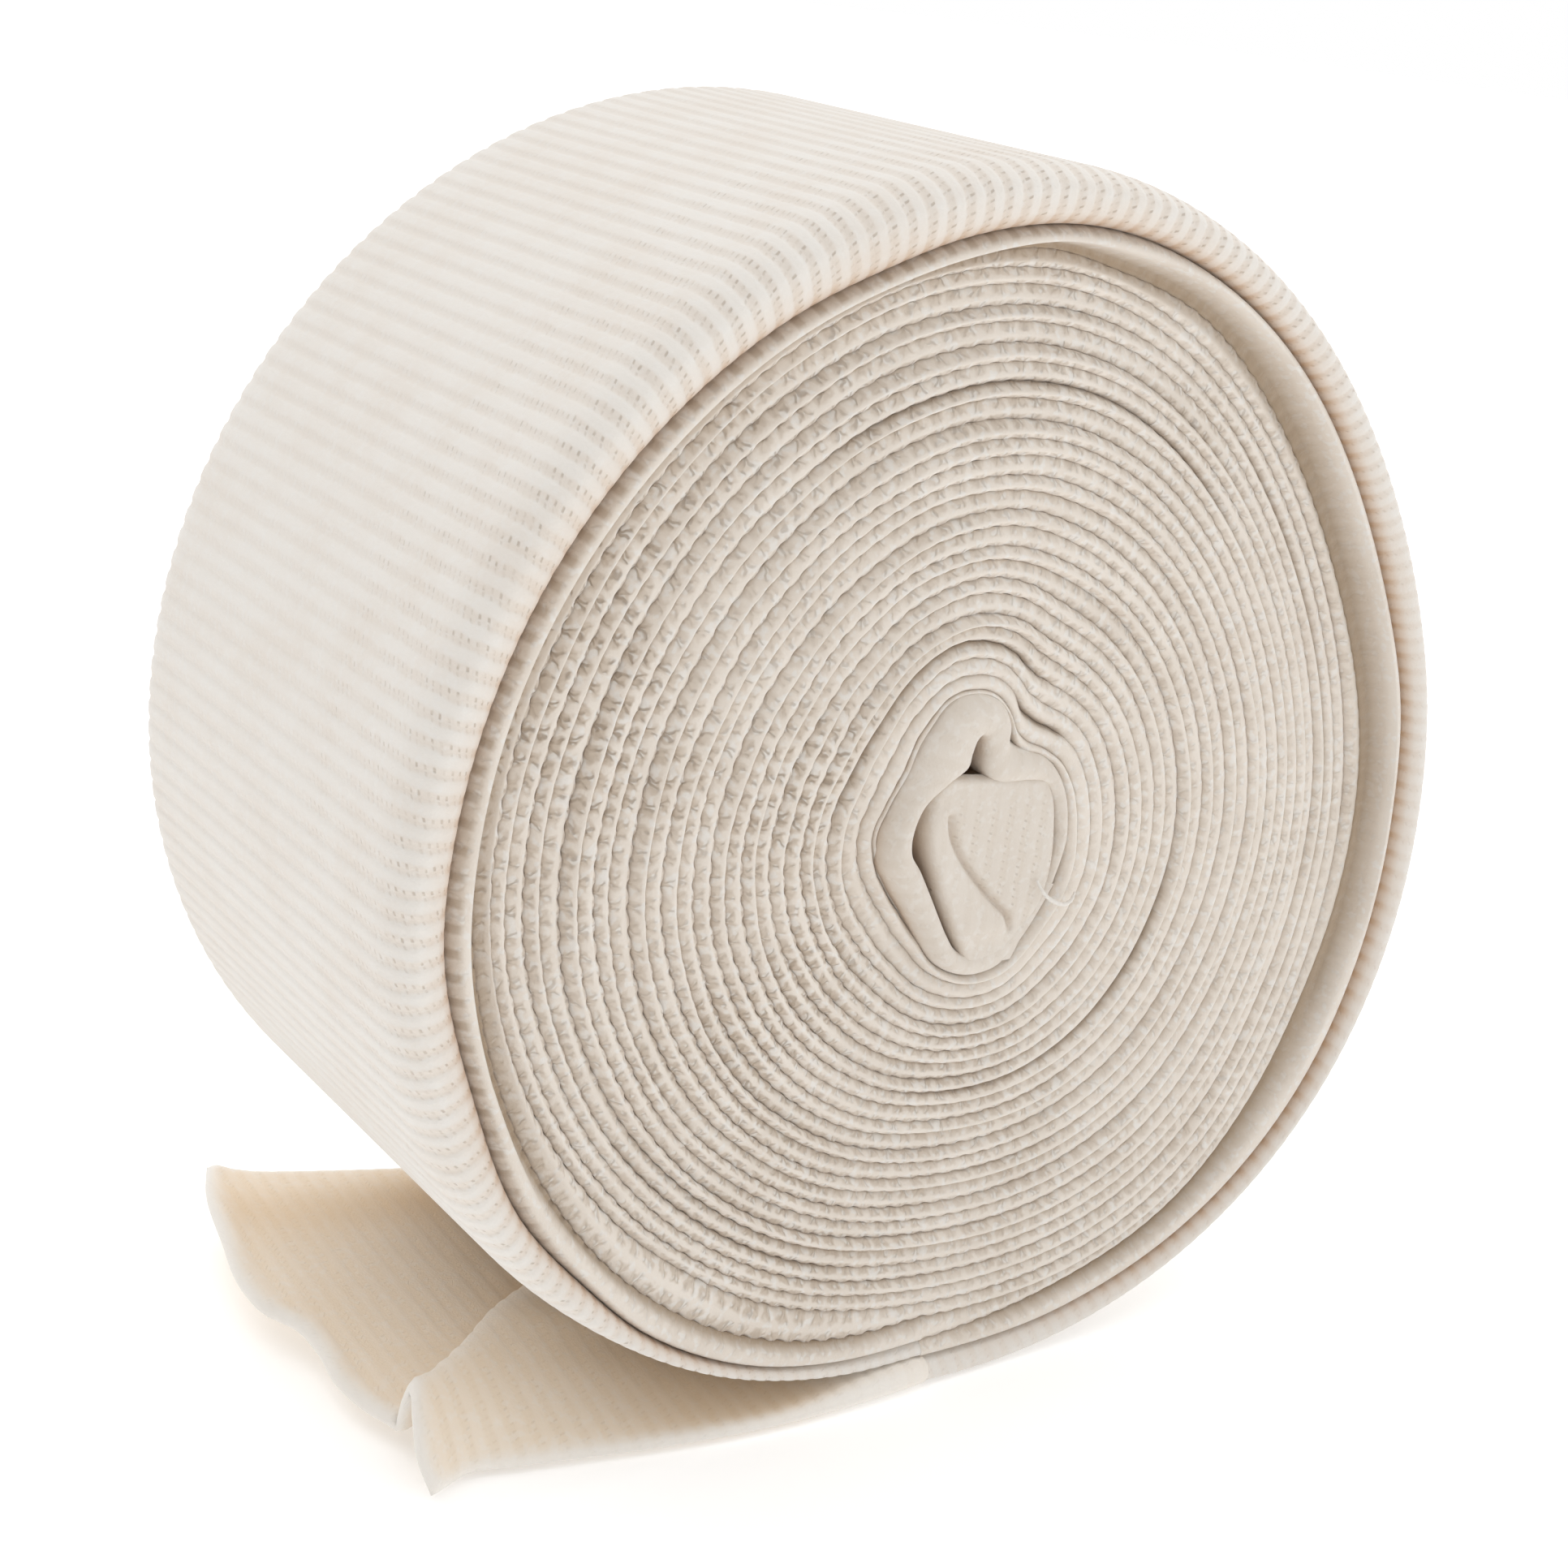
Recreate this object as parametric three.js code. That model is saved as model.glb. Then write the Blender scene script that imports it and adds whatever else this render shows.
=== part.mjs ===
// A tubular bandage roll: a ribbed knitted cotton tube, flattened and wound on itself, lying on its side.
// Millimetres, +Z up. The roll's axis runs along Y, with the end that shows the core at -Y.
// The origin is the middle of the flat spot that the roll rests on.
import * as THREE from "three";

const { degToRad, lerp, clamp, smoothstep } = THREE.MathUtils;

// Driving dimensions of the roll.
const TUBE_WIDTH = 75; // flat width of the tube, and so the length of the roll
const ROLL_RADIUS = 85.7;
const AXIS_HEIGHT = 84.0; // less than the radius, which leaves the flat spot
const BACK_GROWTH = 0.0104; // share by which the back end is wound larger than the front one
const AXIS_X = -11.75; // the roll leans a little, so its axis stands left of the flat spot
const CLOTH_THICKNESS = 2.2; // the flattened tube, two layers of knit
const CLEARANCE = 0.35;
const RIBS_AROUND = 186;
const RIB_HEIGHT = 0.5;
const FOLD_POINTS = 124; // points of a ring on the second fold, a third of those on the ribs
const FACE_POINTS = 62; // and on the turns inside it

// The wound section is a little out of round: each lobe adds its height towards its peak angle.
// Angles are degrees from +X, anticlockwise as seen from the front.
const SECTION_LOBES = [
  { order: 2, height: 4.4, peak: -39 },
  { order: 3, height: 2.0, peak: -35 },
];

// The last layer ends its wrap under the roll, where it leaves as the loose end. The outline steps
// there, and the step eases into the round over some degrees on each side.
const LAYER_END = { angle: -88.6, out: 1.3, outEase: 40, in: 2.6, inEase: 12 };

// Widths of the two proud outer folds of the wound ends, and the depth of the dip inside them.
const END_FOLDS = [
  { angle: 0, first: 5.2, second: 4.6, dip: 5.4 },
  { angle: 60, first: 5.4, second: 4.4, dip: 5.8 },
  { angle: 100, first: 8.0, second: 3.6, dip: 5.4 },
  { angle: 150, first: 8.2, second: 3.8, dip: 5.0 },
  { angle: 185, first: 7.4, second: 4.8, dip: 4.8 },
  { angle: 215, first: 5.0, second: 5.0, dip: 3.8 },
  { angle: 240, first: 2.8, second: 3.6, dip: 2.6 },
  { angle: 270, first: 2.6, second: 2.6, dip: 1.6 },
  { angle: 305, first: 3.0, second: 4.2, dip: 2.2 },
  { angle: 335, first: 4.2, second: 5.2, dip: 4.2 },
];

// Rounding of the outermost fold: share of its width in from the outline, depth behind the end's
// plane, and how far a rib stands out sideways and endways there.
const FIRST_FOLD_ROWS = [
  { share: 1.0, depth: 3.2, sideways: 0, endways: 0.5 },
  { share: 0.42, depth: -0.5, sideways: 0, endways: 1 },
  { share: 0.05, depth: 1.3, sideways: 0.8, endways: 0.5 },
  { share: 0.0, depth: 4.6, sideways: 1, endways: 0 },
];
// The second fold: share of its own width inside the first one, and depth.
const SECOND_FOLD_ROWS = [
  { share: 0.5, depth: 0.9 },
  { share: 0.95, depth: 2.8 },
];
const DIP_REACH = 1.6; // from the second fold's inner side to the bottom of the dip
const DIP_EASE = 0.5; // share of the way to the core over which the dip's depth eases out

// Turns that stand together as bundles on the wound ends, with a groove between each two: share of
// the way from the dip to the core, and depth.
const FRONT_BUNDLES = [
  { share: 0.1, depth: 3.9 },
  { share: 0.2, depth: 2.9 },
  { share: 0.33, depth: 2.7 },
  { share: 0.37, depth: 4.0 },
  { share: 0.41, depth: 2.8 },
  { share: 0.58, depth: 2.6 },
  { share: 0.63, depth: 4.0 },
  { share: 0.68, depth: 2.8 },
  { share: 0.82, depth: 2.8 },
  { share: 0.87, depth: 4.1 },
  { share: 0.92, depth: 3.1 },
  { share: 1.0, depth: 3.3 },
];
const BACK_BUNDLES = [
  { share: 0.22, depth: 3.2 },
  { share: 0.45, depth: 2.9 },
  { share: 0.5, depth: 4.1 },
  { share: 0.55, depth: 3.0 },
  { share: 0.8, depth: 3.1 },
  { share: 1.0, depth: 4.0 },
];

// The folded inner end of the cloth at the core, from the roll's axis in the plane of the end.
const CORE_RADIUS = 23;
const FRONT_CORE_RINGS = 14;
const BACK_CORE_RINGS = 2;
const BUMP_REACH = 1.35; // a soft bump ends this many times its size from its middle
const CORE_BAND_WIDTH = 6.4;
const CORE_BAND_RISE = 2.6;
const CORE_BAND_REACH = 1.25; // the band's rise ends this many half widths from its middle line
const CORE_BAND = [
  { x: -2.0, z: 9 },
  { x: -3.6, z: 17 },
  { x: -8.4, z: 12 },
  { x: -12.8, z: 4 },
  { x: -13.2, z: -3 },
  { x: -8.6, z: -11 },
  { x: -1.5, z: -18 },
];
const CORE_FLAP = { x: 3.5, z: -3.5, across: 9.5, up: 8.5, rise: 1.5 };
const CORE_SLOT = { x: -5.4, z: 10.5, across: 2.8, up: 5.0, rise: -2.0 };
const BACK_CORE = { x: 1, z: 1, across: 10, up: 13, rise: 2.0 };

// Stations along the loose end, by distance from where it leaves the roll: its near edge, its ridge
// and its far edge, as depths from the front of the roll and heights of the middle of the cloth.
const LOOSE_STATIONS = [
  { along: 0, nearY: -1.2, nearZ: 1.1, ridgeY: 46, ridgeZ: 1.1, farY: 74.2, farZ: 1.1 },
  { along: 14, nearY: -1.0, nearZ: 1.1, ridgeY: 45, ridgeZ: 1.2, farY: 74.6, farZ: 1.2 },
  { along: 30, nearY: 0.4, nearZ: 1.1, ridgeY: 41, ridgeZ: 3.8, farY: 75.6, farZ: 2.5 },
  { along: 44, nearY: 3.0, nearZ: 1.1, ridgeY: 33, ridgeZ: 7.0, farY: 77, farZ: 4.4 },
  { along: 60, nearY: 6.1, nearZ: 1.1, ridgeY: 22, ridgeZ: 9.0, farY: 79.5, farZ: 6.3 },
  { along: 76, nearY: 7.6, nearZ: 1.1, ridgeY: 17.5, ridgeZ: 9.2, farY: 82, farZ: 8.2 },
  { along: 88, nearY: 7.6, nearZ: 1.1, ridgeY: 16.5, ridgeZ: 9.2, farY: 83, farZ: 9.4 },
];
// The cut edge is uneven: how far the cloth reaches, by share of its width from the near edge.
const CUT_EDGE = [
  { across: 0, reach: 74 },
  { across: 0.12, reach: 76 },
  { across: 0.3, reach: 78.4 },
  { across: 0.45, reach: 79 },
  { across: 0.6, reach: 82 },
  { across: 0.8, reach: 78 },
  { across: 1, reach: 73.5 },
];
// Share of the cloth's width that hangs in front of the ridge, where it leaves the roll and at the cut.
const RIDGE_SHARE = { atRoll: 0.6, atCut: 0.18, from: 10, to: 70 };
const SAG_BEHIND_RIDGE = { depth: 1.6, from: 20, to: 60 };
const SLOPE_STEP = 0.02; // share of the cloth's width over which its slope is read
const LOOSE_RIBS = 29;
const LOOSE_RIB_HEIGHT = 0.35;
const LOOSE_STEPS_ACROSS = 14;
const EDGE_THICKNESS_SHARE = 0.5; // of the cloth's thickness, left at its rounded edges

const COTTON = { color: 0xe9e1d8, roughness: 0.95, metalness: 0 };
const WARM_COTTON = { color: 0xdccbb4, roughness: 0.95, metalness: 0 };

// A smooth curve through one column of a table, read at a value of its key column.
function curveOf(table, key, column) {
  const keys = table.map((row) => row[key]);
  const values = table.map((row) => row[column]);
  const curve = new THREE.CubicInterpolant(keys, values, 1);
  return (at) => curve.evaluate(clamp(at, keys[0], keys[keys.length - 1]))[0];
}

// The same around the roll, where the last row leads back to the first.
function curveAround(table, column) {
  const before = table.map((row) => ({ ...row, angle: row.angle - 360 }));
  const after = table.map((row) => ({ ...row, angle: row.angle + 360 }));
  return curveOf([...before, ...table, ...after], "angle", column);
}

const firstFold = curveAround(END_FOLDS, "first");
const secondFold = curveAround(END_FOLDS, "second");
const dipDepth = curveAround(END_FOLDS, "dip");

// Radius of the wound outline: the lobes, and the step where the last layer leaves.
function outline(degrees) {
  const pastStep = degrees - LAYER_END.angle;
  const stepOut = LAYER_END.out * Math.exp(-pastStep / LAYER_END.outEase);
  const stepIn = LAYER_END.in * Math.exp(-(360 - pastStep) / LAYER_END.inEase);
  return SECTION_LOBES.reduce(
    (radius, lobe) => radius + lobe.height * Math.cos(degToRad(lobe.order * (degrees - lobe.peak))),
    ROLL_RADIUS + stepOut - stepIn,
  );
}

// A ring of points once around the roll from the step in its outline, each made by its angle and number.
function ring(count, makePoint) {
  return Array.from({ length: count }, (_, i) => makePoint(LAYER_END.angle + (360 * i) / count, i));
}

// A point of the roll from its angle, front radius and depth behind one end's plane; nothing reaches
// below the flat spot.
function rollPoint(side, degrees, radius, depth) {
  const angle = degToRad(degrees);
  const y = side * (TUBE_WIDTH / 2 - depth);
  const grown = radius * (1 + BACK_GROWTH * (0.5 + y / TUBE_WIDTH));
  return new THREE.Vector3(
    AXIS_X + grown * Math.cos(angle),
    y,
    Math.max(0, AXIS_HEIGHT + grown * Math.sin(angle)),
  );
}

// Rings of the outermost fold on one end, from its inner side to the outline, with the ribs raised.
function ribbedRings(side) {
  return FIRST_FOLD_ROWS.map((row) =>
    ring(2 * RIBS_AROUND, (degrees, i) => {
      const rib = (i % 2 ? -0.5 : 0.5) * RIB_HEIGHT;
      const radius = outline(degrees) - row.share * firstFold(degrees) + rib * row.sideways;
      return rollPoint(side, degrees, radius, row.depth - rib * row.endways);
    }),
  );
}

// Rings of the second fold, from its inner side out.
function secondFoldRings(side) {
  return SECOND_FOLD_ROWS.map((row) =>
    ring(FOLD_POINTS, (degrees) => {
      const radius = outline(degrees) - firstFold(degrees) - row.share * secondFold(degrees);
      return rollPoint(side, degrees, radius, row.depth);
    }),
  ).reverse();
}

// Rings of the dip and the bundles of turns inside it, from the core out. Low on the roll the turns
// lie flush, and the depths ease to those of the bundles towards the core.
function bundleRings(side, bundles) {
  return [{ share: 0, depth: 0 }, ...bundles]
    .map((row) =>
      ring(FACE_POINTS, (degrees) => {
        const folds = firstFold(degrees) + secondFold(degrees) + DIP_REACH;
        const radius = lerp(outline(degrees) - folds, CORE_RADIUS, row.share);
        const eased = smoothstep(row.share, 0, DIP_EASE);
        return rollPoint(side, degrees, radius, lerp(dipDepth(degrees), row.depth, eased));
      }),
    )
    .reverse();
}

// Rings inside the core, from its middle out, raised by a function of the place in the end's plane.
function coreRings(side, rings, depth, rise) {
  return Array.from({ length: rings }, (_, k) => {
    const radius = (CORE_RADIUS * (k + 1)) / (rings + 1);
    return ring(FACE_POINTS, (degrees) => {
      const x = radius * Math.cos(degToRad(degrees));
      const z = radius * Math.sin(degToRad(degrees));
      return rollPoint(side, degrees, radius, depth - rise(x, z));
    });
  });
}

// Distance from a place to the core's folded band, a line of short straight runs.
function distanceToBand(x, z) {
  const place = new THREE.Vector3(x, z, 0);
  const corners = CORE_BAND.map((corner) => new THREE.Vector3(corner.x, corner.z, 0));
  const distances = corners.slice(1).map((corner, i) => {
    const run = new THREE.Line3(corners[i], corner);
    return run.closestPointToPoint(place, true, new THREE.Vector3()).distanceTo(place);
  });
  return Math.min(...distances);
}

// A soft round bump: its full rise in the middle, easing to nothing past its edge.
function bump(x, z, form) {
  const away = Math.hypot((x - form.x) / form.across, (z - form.z) / form.up);
  return form.rise * smoothstep(BUMP_REACH - away, 0, 1);
}

// The folded inner end: a thick band round a slot, and a flap beside it.
function frontCoreRise(x, z) {
  const away = distanceToBand(x, z) / (CORE_BAND_WIDTH / 2);
  const band = CORE_BAND_RISE * smoothstep(CORE_BAND_REACH - away, 0, 1);
  return Math.max(band, bump(x, z, CORE_FLAP)) + bump(x, z, CORE_SLOT);
}

function backCoreRise(x, z) {
  return bump(x, z, BACK_CORE);
}

// Triangles between a ring and the next one out. One may have a whole number of times as many
// points as the other, and each point of the coarser ring then takes a fan of the finer one.
function joinRings(inner, outer, indices) {
  const outerIsFine = outer.length >= inner.length;
  const [fine, coarse] = outerIsFine ? [outer, inner] : [inner, outer];
  const ratio = fine.length / coarse.length;
  const face = (a, b, c) => (outerIsFine ? indices.push(a, b, c) : indices.push(a, c, b));
  coarse.forEach((corner, c) => {
    for (let k = c * ratio; k < (c + 1) * ratio; k += 1) {
      face(corner, fine[k], fine[(k + 1) % fine.length]);
    }
    face(corner, fine[((c + 1) * ratio) % fine.length], coarse[(c + 1) % coarse.length]);
  });
}

// A closed surface through rings, from a point in front of the first to one behind the last.
function surfaceThroughRings(startPole, rings, endPole) {
  const positions = [];
  const indices = [];
  const add = (point) => positions.push(point.x, point.y, point.z) / 3 - 1;
  const start = add(startPole);
  const numbered = rings.map((points) => points.map(add));
  const end = add(endPole);
  const first = numbered[0];
  const last = numbered[numbered.length - 1];
  first.forEach((point, i) => indices.push(start, point, first[(i + 1) % first.length]));
  last.forEach((point, i) => indices.push(end, last[(i + 1) % last.length], point));
  numbered.slice(1).forEach((outer, i) => joinRings(numbered[i], outer, indices));
  const geometry = new THREE.BufferGeometry();
  geometry.setAttribute("position", new THREE.Float32BufferAttribute(positions, 3));
  geometry.setIndex(indices);
  geometry.computeVertexNormals();
  return geometry;
}

function rollGeometry() {
  const frontCoreDepth = FRONT_BUNDLES[FRONT_BUNDLES.length - 1].depth;
  const backCoreDepth = BACK_BUNDLES[BACK_BUNDLES.length - 1].depth;
  const front = [
    ...coreRings(-1, FRONT_CORE_RINGS, frontCoreDepth, frontCoreRise),
    ...bundleRings(-1, FRONT_BUNDLES),
    ...secondFoldRings(-1),
    ...ribbedRings(-1),
  ];
  const back = [
    ...coreRings(1, BACK_CORE_RINGS, backCoreDepth, backCoreRise),
    ...bundleRings(1, BACK_BUNDLES),
    ...secondFoldRings(1),
    ...ribbedRings(1),
  ];
  const startPole = rollPoint(-1, 0, 0, frontCoreDepth - frontCoreRise(0, 0));
  const endPole = rollPoint(1, 0, 0, backCoreDepth - backCoreRise(0, 0));
  return surfaceThroughRings(startPole, [...front, ...back.reverse()], endPole);
}

const looseCurves = Object.fromEntries(
  ["nearY", "nearZ", "ridgeY", "ridgeZ", "farY", "farZ"].map((column) => [
    column,
    curveOf(LOOSE_STATIONS, "along", column),
  ]),
);
const cutReach = curveOf(CUT_EDGE, "across", "reach");

// Where the last layer leaves the roll, half a rib past the step and low on it.
const rootAngle = degToRad(LAYER_END.angle - 180 / RIBS_AROUND);
const LOOSE_ROOT_X = AXIS_X + (AXIS_HEIGHT - CLOTH_THICKNESS) * Math.cos(rootAngle) - CLEARANCE;

// Middle of the loose cloth, from the shares of its length and width: it rises from its near edge
// to the ridge, and runs on to the far edge with a slight sag.
function looseMiddle(lengthShare, widthShare) {
  const along = lengthShare * cutReach(widthShare);
  const at = (column) => looseCurves[column](along);
  const ridgeEase = smoothstep(along, RIDGE_SHARE.from, RIDGE_SHARE.to);
  const ridge = lerp(RIDGE_SHARE.atRoll, RIDGE_SHARE.atCut, ridgeEase);
  const inFront = clamp(widthShare / ridge, 0, 1);
  const behind = clamp((widthShare - ridge) / (1 - ridge), 0, 1);
  const sagEase = smoothstep(along, SAG_BEHIND_RIDGE.from, SAG_BEHIND_RIDGE.to);
  const sag = SAG_BEHIND_RIDGE.depth * sagEase * Math.sin(Math.PI * behind);
  const depth = lerp(lerp(at("nearY"), at("ridgeY"), inFront), at("farY"), behind);
  const height = lerp(lerp(at("nearZ"), at("ridgeZ"), inFront), at("farZ"), behind) - sag;
  return new THREE.Vector3(LOOSE_ROOT_X - along, depth - TUBE_WIDTH / 2, height);
}

// Direction out of the cloth's upper side, from its slope across.
function looseUp(lengthShare, widthShare) {
  const nearer = looseMiddle(lengthShare, clamp(widthShare - SLOPE_STEP, 0, 1));
  const farther = looseMiddle(lengthShare, clamp(widthShare + SLOPE_STEP, 0, 1));
  const across = farther.sub(nearer).setX(0).normalize();
  return new THREE.Vector3(0, -across.z, across.y);
}

// One closed section of the loose cloth: its upper side from far to near, then its lower side back.
function looseSection(lengthShare, rib) {
  const upper = [];
  const lower = [];
  for (let j = 0; j <= LOOSE_STEPS_ACROSS; j += 1) {
    const widthShare = j / LOOSE_STEPS_ACROSS;
    const middle = looseMiddle(lengthShare, widthShare);
    const up = looseUp(lengthShare, widthShare);
    const atEdge = j === 0 || j === LOOSE_STEPS_ACROSS;
    const half = (CLOTH_THICKNESS / 2) * (atEdge ? EDGE_THICKNESS_SHARE : 1);
    upper.unshift(middle.clone().addScaledVector(up, half + (atEdge ? 0 : rib)));
    const under = middle.clone().addScaledVector(up, -half);
    lower.push(under.setZ(Math.max(0, under.z)));
  }
  return [...upper, ...lower];
}

function looseEndGeometry() {
  const steps = 2 * LOOSE_RIBS;
  const sections = Array.from({ length: steps + 1 }, (_, i) => {
    const rib = i === 0 || i % 2 ? -LOOSE_RIB_HEIGHT : 0;
    return looseSection(i / steps, rib);
  });
  const middleOf = (section) =>
    section.reduce((sum, point) => sum.add(point), new THREE.Vector3()).divideScalar(section.length);
  return surfaceThroughRings(middleOf(sections[0]), sections, middleOf(sections[steps]));
}

function namedMesh(name, geometry, finish) {
  const mesh = new THREE.Mesh(geometry, new THREE.MeshStandardMaterial(finish));
  mesh.name = name;
  return mesh;
}

const bandageRoll = new THREE.Group();
bandageRoll.add(namedMesh("wound_roll", rollGeometry(), COTTON));
bandageRoll.add(namedMesh("loose_end", looseEndGeometry(), WARM_COTTON));

export default bandageRoll;
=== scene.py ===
import bpy
import numpy as np
from mathutils import Matrix, Vector


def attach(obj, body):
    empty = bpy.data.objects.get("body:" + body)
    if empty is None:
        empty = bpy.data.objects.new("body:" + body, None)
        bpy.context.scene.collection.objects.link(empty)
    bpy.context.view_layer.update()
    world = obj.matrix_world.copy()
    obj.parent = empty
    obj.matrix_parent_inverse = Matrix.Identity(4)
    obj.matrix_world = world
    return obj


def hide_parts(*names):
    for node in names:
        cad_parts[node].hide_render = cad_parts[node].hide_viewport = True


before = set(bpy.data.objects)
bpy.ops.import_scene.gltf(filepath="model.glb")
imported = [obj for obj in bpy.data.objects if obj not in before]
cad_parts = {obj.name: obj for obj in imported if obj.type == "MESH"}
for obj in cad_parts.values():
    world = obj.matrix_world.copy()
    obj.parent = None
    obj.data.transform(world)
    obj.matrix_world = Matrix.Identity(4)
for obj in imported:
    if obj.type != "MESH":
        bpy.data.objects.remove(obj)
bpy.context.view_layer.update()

# A roll of ribbed cotton tubular bandage: its outer turn, the wound turns inside it, the folded inner
# end at the core and the loose end that lies under it. Shapes are worked out in millimetres.

bl_info = {
    "name": "Tubular bandage roll",
    "version": (1, 0, 0),
    "blender": (4, 5, 0),
    "location": "3D View > Sidebar > Bandage",
    "description": "Winds a roll of ribbed tubular bandage on its packed frame",
    "category": "Add Mesh",
}

MM = 0.001


def table(names, *rows):
    """A table with named columns: one dictionary for each row."""
    return [dict(zip(names.split(), row)) for row in rows]


# The wound section is a little out of round: each lobe adds its height towards its peak angle.
# Angles are degrees from +X, anticlockwise as seen from the front. Turns are counted from the angle
# where the last layer leaves, and the angle goes on growing as the cloth winds inwards.
SECTION_LOBES = table(
    "order height peak",
    (2, 4.4, -39.0),
    (3, 2.0, -35.0),
)
START = -88.6
BACK_GROWTH = 0.0104
AXIS_X = -11.75
TURN_GAP = 0.02

# How far the outer edge of the cloth lies inside the round section, by its angle along the winding:
# the outermost turn, the second one, and the one that leads down into the dip.
OUTER_EDGE = table(
    "angle inset",
    (-88.6, -1.3),
    (-60, -0.65),
    (-30, -0.3),
    (20, -0.09),
    (100, 0),
    (220, 0.03),
    (250, 0.44),
    (262, 1.2),
)
SECOND_EDGE = table(
    "angle inset",
    (271.4, 2.6), (290, 3), (329, 3.2), (338, 4.2),
    (348, 5), (356, 5.3), (369, 4.8), (381, 5.4),
    (416, 5.4), (432, 6), (448, 6.9), (463, 8.5),
    (471, 9.3), (482, 9), (510, 8), (534, 7.7),
    (542, 7.4), (558, 7.9), (573, 5.6), (584, 4.6),
    (595, 2.6), (610, 2), (619, 3),
)
LEAD_IN_EDGE = table(
    "angle inset",
    (631.4, 5.3), (650, 7.1), (668, 7.3), (682, 9.6),
    (693, 11.3), (706, 11.3), (722, 10.8), (748, 11.3),
    (769, 10.8), (789, 10.2), (803, 11), (811, 10.6),
    (823, 11.8), (850, 12), (882, 11.7), (901, 12),
    (925, 11), (935, 9.8), (950, 7.5), (965, 6),
    (978, 6.4), (991.4, 9.2),
)
EDGES = OUTER_EDGE + SECOND_EDGE + LEAD_IN_EDGE
# The first three turns lie outside the dip. The same inset for the turns inside it, by angle round the
# roll, and the outline of the core with its mean radius.
TURNS_OUTSIDE = 3
DIP_EDGE = table(
    "angle inset",
    (-88.6, 9.2), (-52, 9.2), (-27, 12.6), (2, 12.4),
    (49, 12.1), (91, 11.7), (130, 12.9), (181, 13.0),
    (205, 12.8), (230, 10.5), (250, 8.7),
)
CORE_EDGE = table(
    "angle radius",
    (0, 14.8), (20, 14.1), (40, 13.6), (55, 12.7),
    (68, 12.3), (78, 13.5), (86, 16.4), (94, 18.8),
    (104, 20.6), (116, 21.1), (128, 19.7), (145, 17.5),
    (180, 16.8), (192, 15.8), (218, 14.4), (243, 16.1),
    (258, 18.7), (277, 20.8), (288, 21.0), (307, 18.8),
    (335, 17.0),
)
CORE_RADIUS = 17.3
# Depth behind the front plane of the crests in the dip, and near the core.
CREST_DEPTHS = table(
    "angle dip core",
    (0, 5.4, 2.6),
    (60, 5.6, 2.8),
    (100, 5.4, 2.6),
    (150, 5.0, 3.2),
    (185, 4.8, 4.2),
    (215, 3.8, 5.0),
    (240, 2.6, 4.6),
    (270, 1.8, 3.4),
    (305, 2.2, 2.9),
    (335, 4.2, 2.7),
)
# Depth of the crest of the turn that leads down into the dip, by its angle along the winding.
LEAD_IN = table(
    "angle crest",
    (631.4, 1.6),
    (700, 3.8),
    (750, 4.7),
    (850, 5.0),
    (890, 4.7),
    (910, 3.2),
    (935, 2.3),
    (960, 1.8),
    (991.4, 1.8),
)
OUTER_CREST = -0.5
SECOND_CREST = 0.9
MIDDLE_CREST = 3.1
FIRST_GROOVE = 3.0
GROOVE_AT_RIB = 0.40
GROOVE_BETWEEN = 0.65
# The outermost turn goes on for a degree where the second begins, and its crest comes down before it.
OUTER_SWEEP = 361
CREST_COMES_DOWN = 35

# Slow unevenness of the winding: waves along the cloth, per turn, that move a turn's crest to and
# fro and its edge in and out. The first two part the turns into pairs and bundles. They rise from
# nothing to the whole between two counts of turns.
WAVES_RISE = (2.6, 4.0)
WAVES = table(
    "per_turn phase crest edge",
    (0.463, 2.1, 0.30, 0.15),
    (0.213, 0.4, 0.22, 0.08),
    (1.37, 1.3, 0.14, 0.05),
    (3.71, 0.7, 0.10, 0.07),
    (7.23, 4.0, 0.06, 0.05),
    (17.9, 1.9, 0.05, 0.03),
)
# Gaps between bundles of turns that stand open, with their inside tinted tan as painted shade, and their
# width as a share of a turn.
GAP_WIDTH = 0.42
OPEN_GAPS = table(
    "turn from to depth",
    (19.4, -105, -8, 1.1),
    (7.3, -150, -100, 0.9),
    (12.5, -95, -30, 0.5),
    (24.6, 60, 175, 0.7),
    (26.5, 45, 85, 0.9),
    (9.5, 40, 130, 0.5),
    (5.5, -40, 60, 0.6),
)
# The side a turn leans to: its crest lies nearer its inner edge on the left and its outer edge on the
# right, and is sharpest where the cloth is stretched open, at the upper left.
LEAN = {"towards": 150, "by": 0.23}
SHARPNESS = {"left": 1.5, "right": 2.3, "second": 2.8}
# How openly the knit shows between the ribs, as windows and as the stitches in them.
WINDOWS = table(
    "angle window stitch",
    (-45, 0.45, 0.40),
    (0, 0.35, 0.35),
    (45, 0.45, 0.45),
    (90, 0.60, 0.65),
    (135, 0.65, 1.0),
    (180, 0.95, 1.0),
    (225, 1.0, 0.80),
    (270, 0.70, 0.50),
)

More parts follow.
